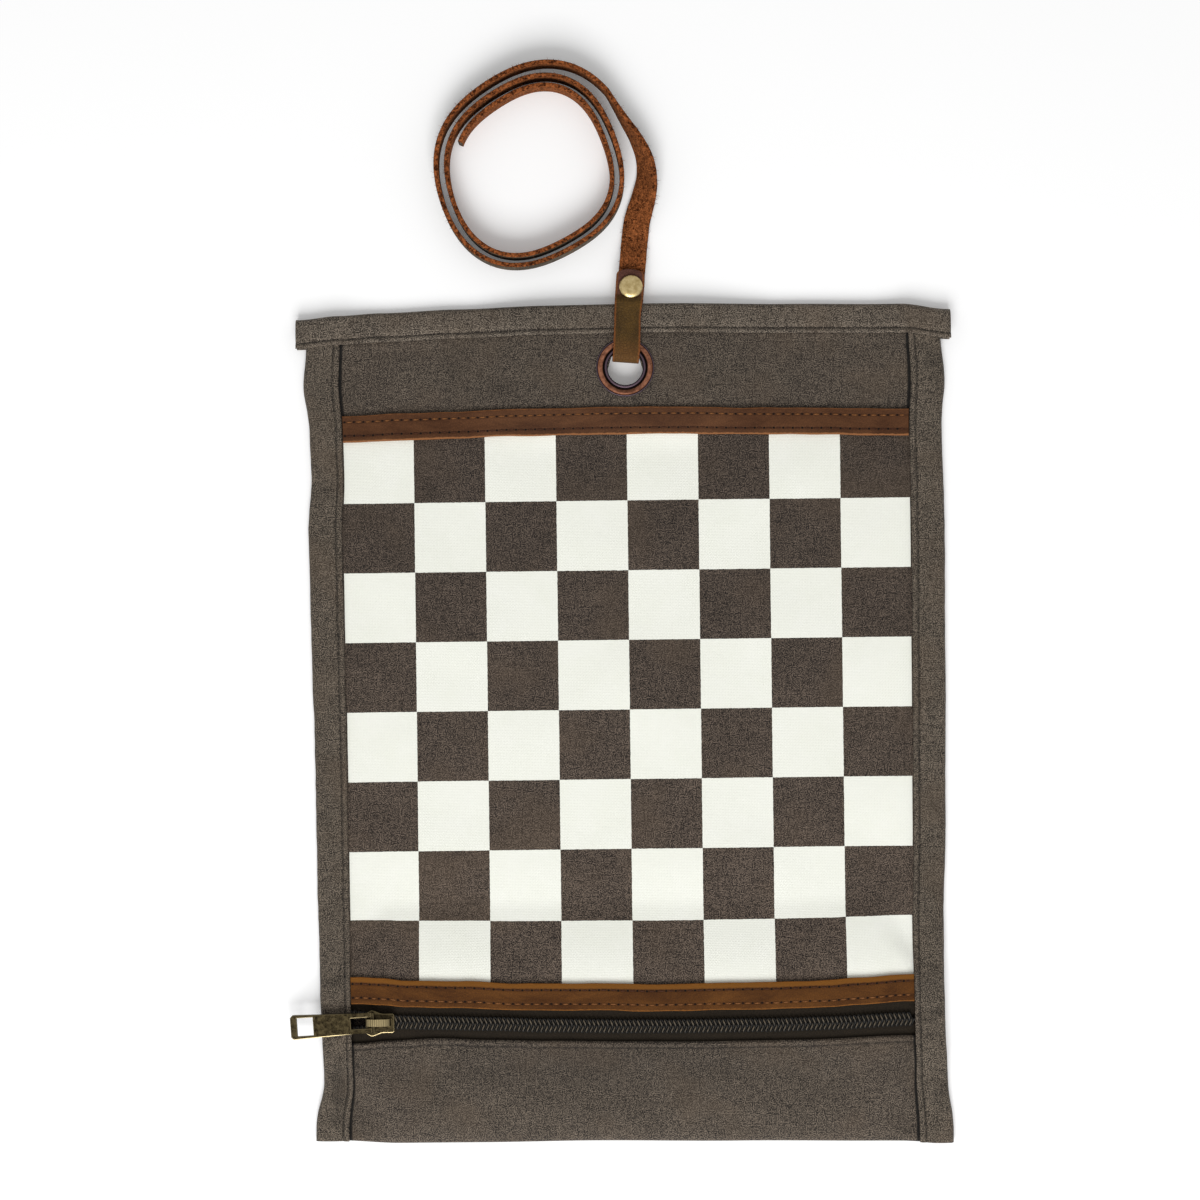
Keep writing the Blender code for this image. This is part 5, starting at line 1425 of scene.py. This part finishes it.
def casting(name, node, body, face_way, rim, rise, moved, bridged=False):
    """A copy of a solid; its faces towards face_way get a worn, slanting rim, and moved(point) seats it."""
    mesh = bmesh.new()
    mesh.from_mesh(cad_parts[node].data)
    bmesh.ops.remove_doubles(mesh, verts=mesh.verts, dist=SAME_POINT)
    bmesh.ops.dissolve_limit(mesh, angle_limit=SAME_FACE, verts=mesh.verts, edges=mesh.edges)
    for layer in list(mesh.loops.layers.uv):
        mesh.loops.layers.uv.remove(layer)
    wear_and_highlight = mesh.loops.layers.uv.new("wear_and_highlight")
    tall = max(vert.co.dot(face_way) for vert in mesh.verts) - rise * 4
    bridge_z = PLATE_TOP_Z + rise
    bridge = {face for face in mesh.faces if bridged and face.calc_center_median().dot(face_way) > bridge_z}
    plateau = [face for face in mesh.faces if face.normal.dot(face_way) > 0.985 and face not in bridge]
    worn = {face for face in mesh.faces if 0.35 < abs(face.normal.dot(face_way)) < 0.93}
    rims = bmesh.ops.inset_region(
        mesh, faces=plateau, thickness=rim, depth=rise, use_boundary=True, use_even_offset=True
    )
    worn.update(rims["faces"])
    bmesh.ops.recalc_face_normals(mesh, faces=mesh.faces)
    for edge in mesh.edges:
        edge.smooth = edge.calc_face_angle(0) < SHARP and len({face in worn for face in edge.link_faces}) == 1
    # Rims get a base share of rubbing; faces turned towards the lamp get more, as a painted highlight, and the
    # bridge's faces towards the lamp are painted bright the same way.
    middle = sum(vert.co.y for vert in mesh.verts) / len(mesh.verts)
    for face in mesh.faces:
        outer = (face.calc_center_median().y - middle) * face.normal.y > 0
        share = 0.46 + max(-face.normal.y, 0) * (1.3 if outer else 0) if face in worn else 0
        if face in bridge:
            share = 0.62 if face.normal.dot(face_way) > 0.5 else 0.9 * max(-face.normal.y, 0)
        for loop in face.loops:
            loop[wear_and_highlight].uv = (min(share, 1), 1 if face in bridge and loop.vert.co.dot(face_way) > tall else 0)
    for vert in mesh.verts:
        vert.co = moved(vert.co)
    piece = keep(name, mesh, antique_brass, body)
    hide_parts(node)
    return piece


PULL_DROOP = 3.0 * DEG
SLIDER_SHIFT, BRIDGE_SHIFT = 0.8 * MM, 0.5 * MM
PLATE_TOP_Z, BRIDGE_TOP_Z = 8.5 * MM, 11.5 * MM


def slider_seat(point):
    """The slider sits where the zip bows upwards, and its bridge leans away from the lamp."""
    lean = BRIDGE_SHIFT * ramp(point.z, PLATE_TOP_Z, mix(PLATE_TOP_Z, BRIDGE_TOP_Z, 0.6))
    return point + Vector((0, SLIDER_SHIFT + lean, 0))


def pull_seat(point):
    return point + Vector((0, SLIDER_SHIFT + BRIDGE_SHIFT, 0))


pull_face = Vector((-math.sin(PULL_DROOP), 0, math.cos(PULL_DROOP)))
slider = casting("zip_slider", "slider_body", "slider", Vector((0, 0, 1)), 0.2 * MM, 0.05 * MM, slider_seat, True)
pull = casting("zip_pull", "pull_tab", "pull", pull_face, 0.24 * MM, 0.09 * MM, pull_seat)
print("slider and pull", len(slider.data.polygons), len(pull.data.polygons))

# %% [markdown]
# ## Eyelet and rivet
# Both are turned shapes: a profile spun about an upright line. The eyelet's front is a raised copper
# band with a dark groove inside it and the barrel's rolled lip in the middle. From behind it shows
# a flat washer. The rivet is a domed cap in front and a flat head behind.

# %% Spin the turned metal pieces
SPIN_STEPS = 72


def turned(name, profile, centre, finish, body, node, slot_name):
    """A profile of (radius, height) in millimetres, spun about an upright line through centre."""
    mesh = bmesh.new()
    points = [mesh.verts.new((centre.x + radius * MM, centre.y, height * MM)) for radius, height in profile]
    ends = points[1:] + points[:1] if profile[0][0] > 0 else points[1:]
    lines = [mesh.edges.new(pair) for pair in zip(points, ends)]
    bmesh.ops.spin(
        mesh, geom=points + lines, cent=centre, axis=(0, 0, 1), dvec=(0, 0, 0), angle=math.tau, steps=SPIN_STEPS,
        use_merge=True,
    )
    bmesh.ops.remove_doubles(mesh, verts=mesh.verts, dist=SAME_POINT)
    bmesh.ops.recalc_face_normals(mesh, faces=mesh.faces)
    piece = keep(name, mesh, finish, body)
    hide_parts(node)
    return piece


def eyelet_finish():
    copper = Finish("antique_copper")
    x, y, height = copper.parts(copper.place())
    y = y - EYELET_Y
    radius = (x * x + y * y) ** 0.5
    patina = copper.noise(copper.place(), 1.4 * MM, 4, 0.7, 0.4)
    fine = copper.noise(copper.place(), 0.2 * MM, 2, 0.6)
    front = height > 3.4 * MM
    band = radius.eased(7.85 * MM, 8.15 * MM) * (1 - radius.eased(9.6 * MM, 9.85 * MM)) * front
    lip = radius.eased(6.5 * MM, 6.7 * MM) * (1 - radius.eased(7.15 * MM, 7.4 * MM))
    edge = radius.eased(9.95 * MM, 10.05 * MM)
    colour = copper.blend(lip, paint(20, 13, 13), paint(84, 70, 78))
    colour = copper.blend(edge, colour, paint(84, 72, 80))
    tone = copper.blend(patina.eased(0.3, 0.7), paint(96, 60, 44), paint(156, 106, 82))
    # Painted shade: the copper band is painted darker on its lower side, towards the lamp, to hold down the lamp's
    # reflection there.
    tone = copper.shaded(tone, 1 - (0 - y).eased(4 * MM, 9 * MM) * 0.5)
    colour = copper.blend(band, colour, tone)
    colour = copper.blend(1 - front, colour, paint(104, 74, 60))
    return copper.surface(
        base_color=colour, metallic=1.0, roughness=0.38 + patina * 0.16,
        normal=copper.bumped(patina * 0.5 + fine * 0.5, 0.015 * MM),
    )


def rivet_finish():
    brass = Finish("yellow_brass")
    spot = brass.place()
    patina = brass.noise(spot, 1.8 * MM, 4, 0.65)
    scratch = brass.noise(brass.stretched(spot, 1, 0.15), 0.25 * MM, 2, 0.6)
    colour = brass.blend(patina.eased(0.3, 0.7), paint(168, 146, 98), paint(206, 186, 138))
    return brass.surface(
        base_color=colour, metallic=1.0, roughness=0.26 + scratch * 0.14,
        normal=brass.bumped(scratch, 0.008 * MM),
    )


EYELET_FRONT = (
    (6.30, 2.00), (6.30, 5.85), (6.40, 6.12), (6.62, 6.30), (6.95, 6.36), (7.25, 6.26), (7.45, 6.00), (7.60, 5.80),
    (7.85, 5.76), (7.98, 5.94), (8.22, 6.16), (8.62, 6.26), (9.10, 6.24), (9.50, 6.10), (9.75, 5.92), (9.90, 5.78),
    (10.0, 5.86), (10.15, 5.86), (10.30, 5.76), (10.36, 5.60), (10.10, 5.50), (7.10, 5.50), (6.92, 5.30), (6.90, 2.60),
    (7.30, 2.40), (8.40, 2.30), (8.50, 2.15), (8.30, 2.00),
)
EYELET_BACK = ((7.2, 2.7), (10.0, 2.7), (10.25, 2.85), (10.25, 3.05), (10.1, 3.2), (7.2, 3.2))
RIVET_BACK = ((0, 1.2), (3.7, 1.2), (4.05, 1.35), (4.2, 1.7), (4.2, 2.2), (1.3, 2.2), (1.3, 6.2), (0, 6.2))
CAP_LOW, CAP_BRIM, CAP_RISE, CAP_RADIUS = 6.5, 0.22, 1.4, 4.2
cap_profile = [(0, CAP_LOW), (CAP_RADIUS - 0.25, CAP_LOW), (CAP_RADIUS, CAP_LOW + CAP_BRIM)]
for i in range(1, 13):
    angle = i / 12 * math.pi / 2
    dome = mix(CAP_LOW + CAP_BRIM, CAP_LOW + CAP_RISE, math.sin(angle) ** 1.1)
    cap_profile.append((CAP_RADIUS * math.cos(angle) ** 0.55, dome))

eyelet_centre = Vector((0, EYELET_Y, 0))
rivet_centre = lean_point(RIVET_REACH - 0.8 * MM, 0)
copper, rivet_brass = eyelet_finish(), rivet_finish()
turned("eyelet_front", EYELET_FRONT, eyelet_centre, copper, "mat", "eyelet", "eyelet_metal")
turned("eyelet_back", EYELET_BACK, eyelet_centre, copper, "mat", "eyelet_washer", "eyelet_metal")
turned("rivet_front", cap_profile, rivet_centre, rivet_brass, "tie", "rivet_cap", "rivet_metal")
turned("rivet_back", RIVET_BACK, rivet_centre, rivet_brass, "tie", "rivet_post", "rivet_metal")
print("eyelet and rivet")
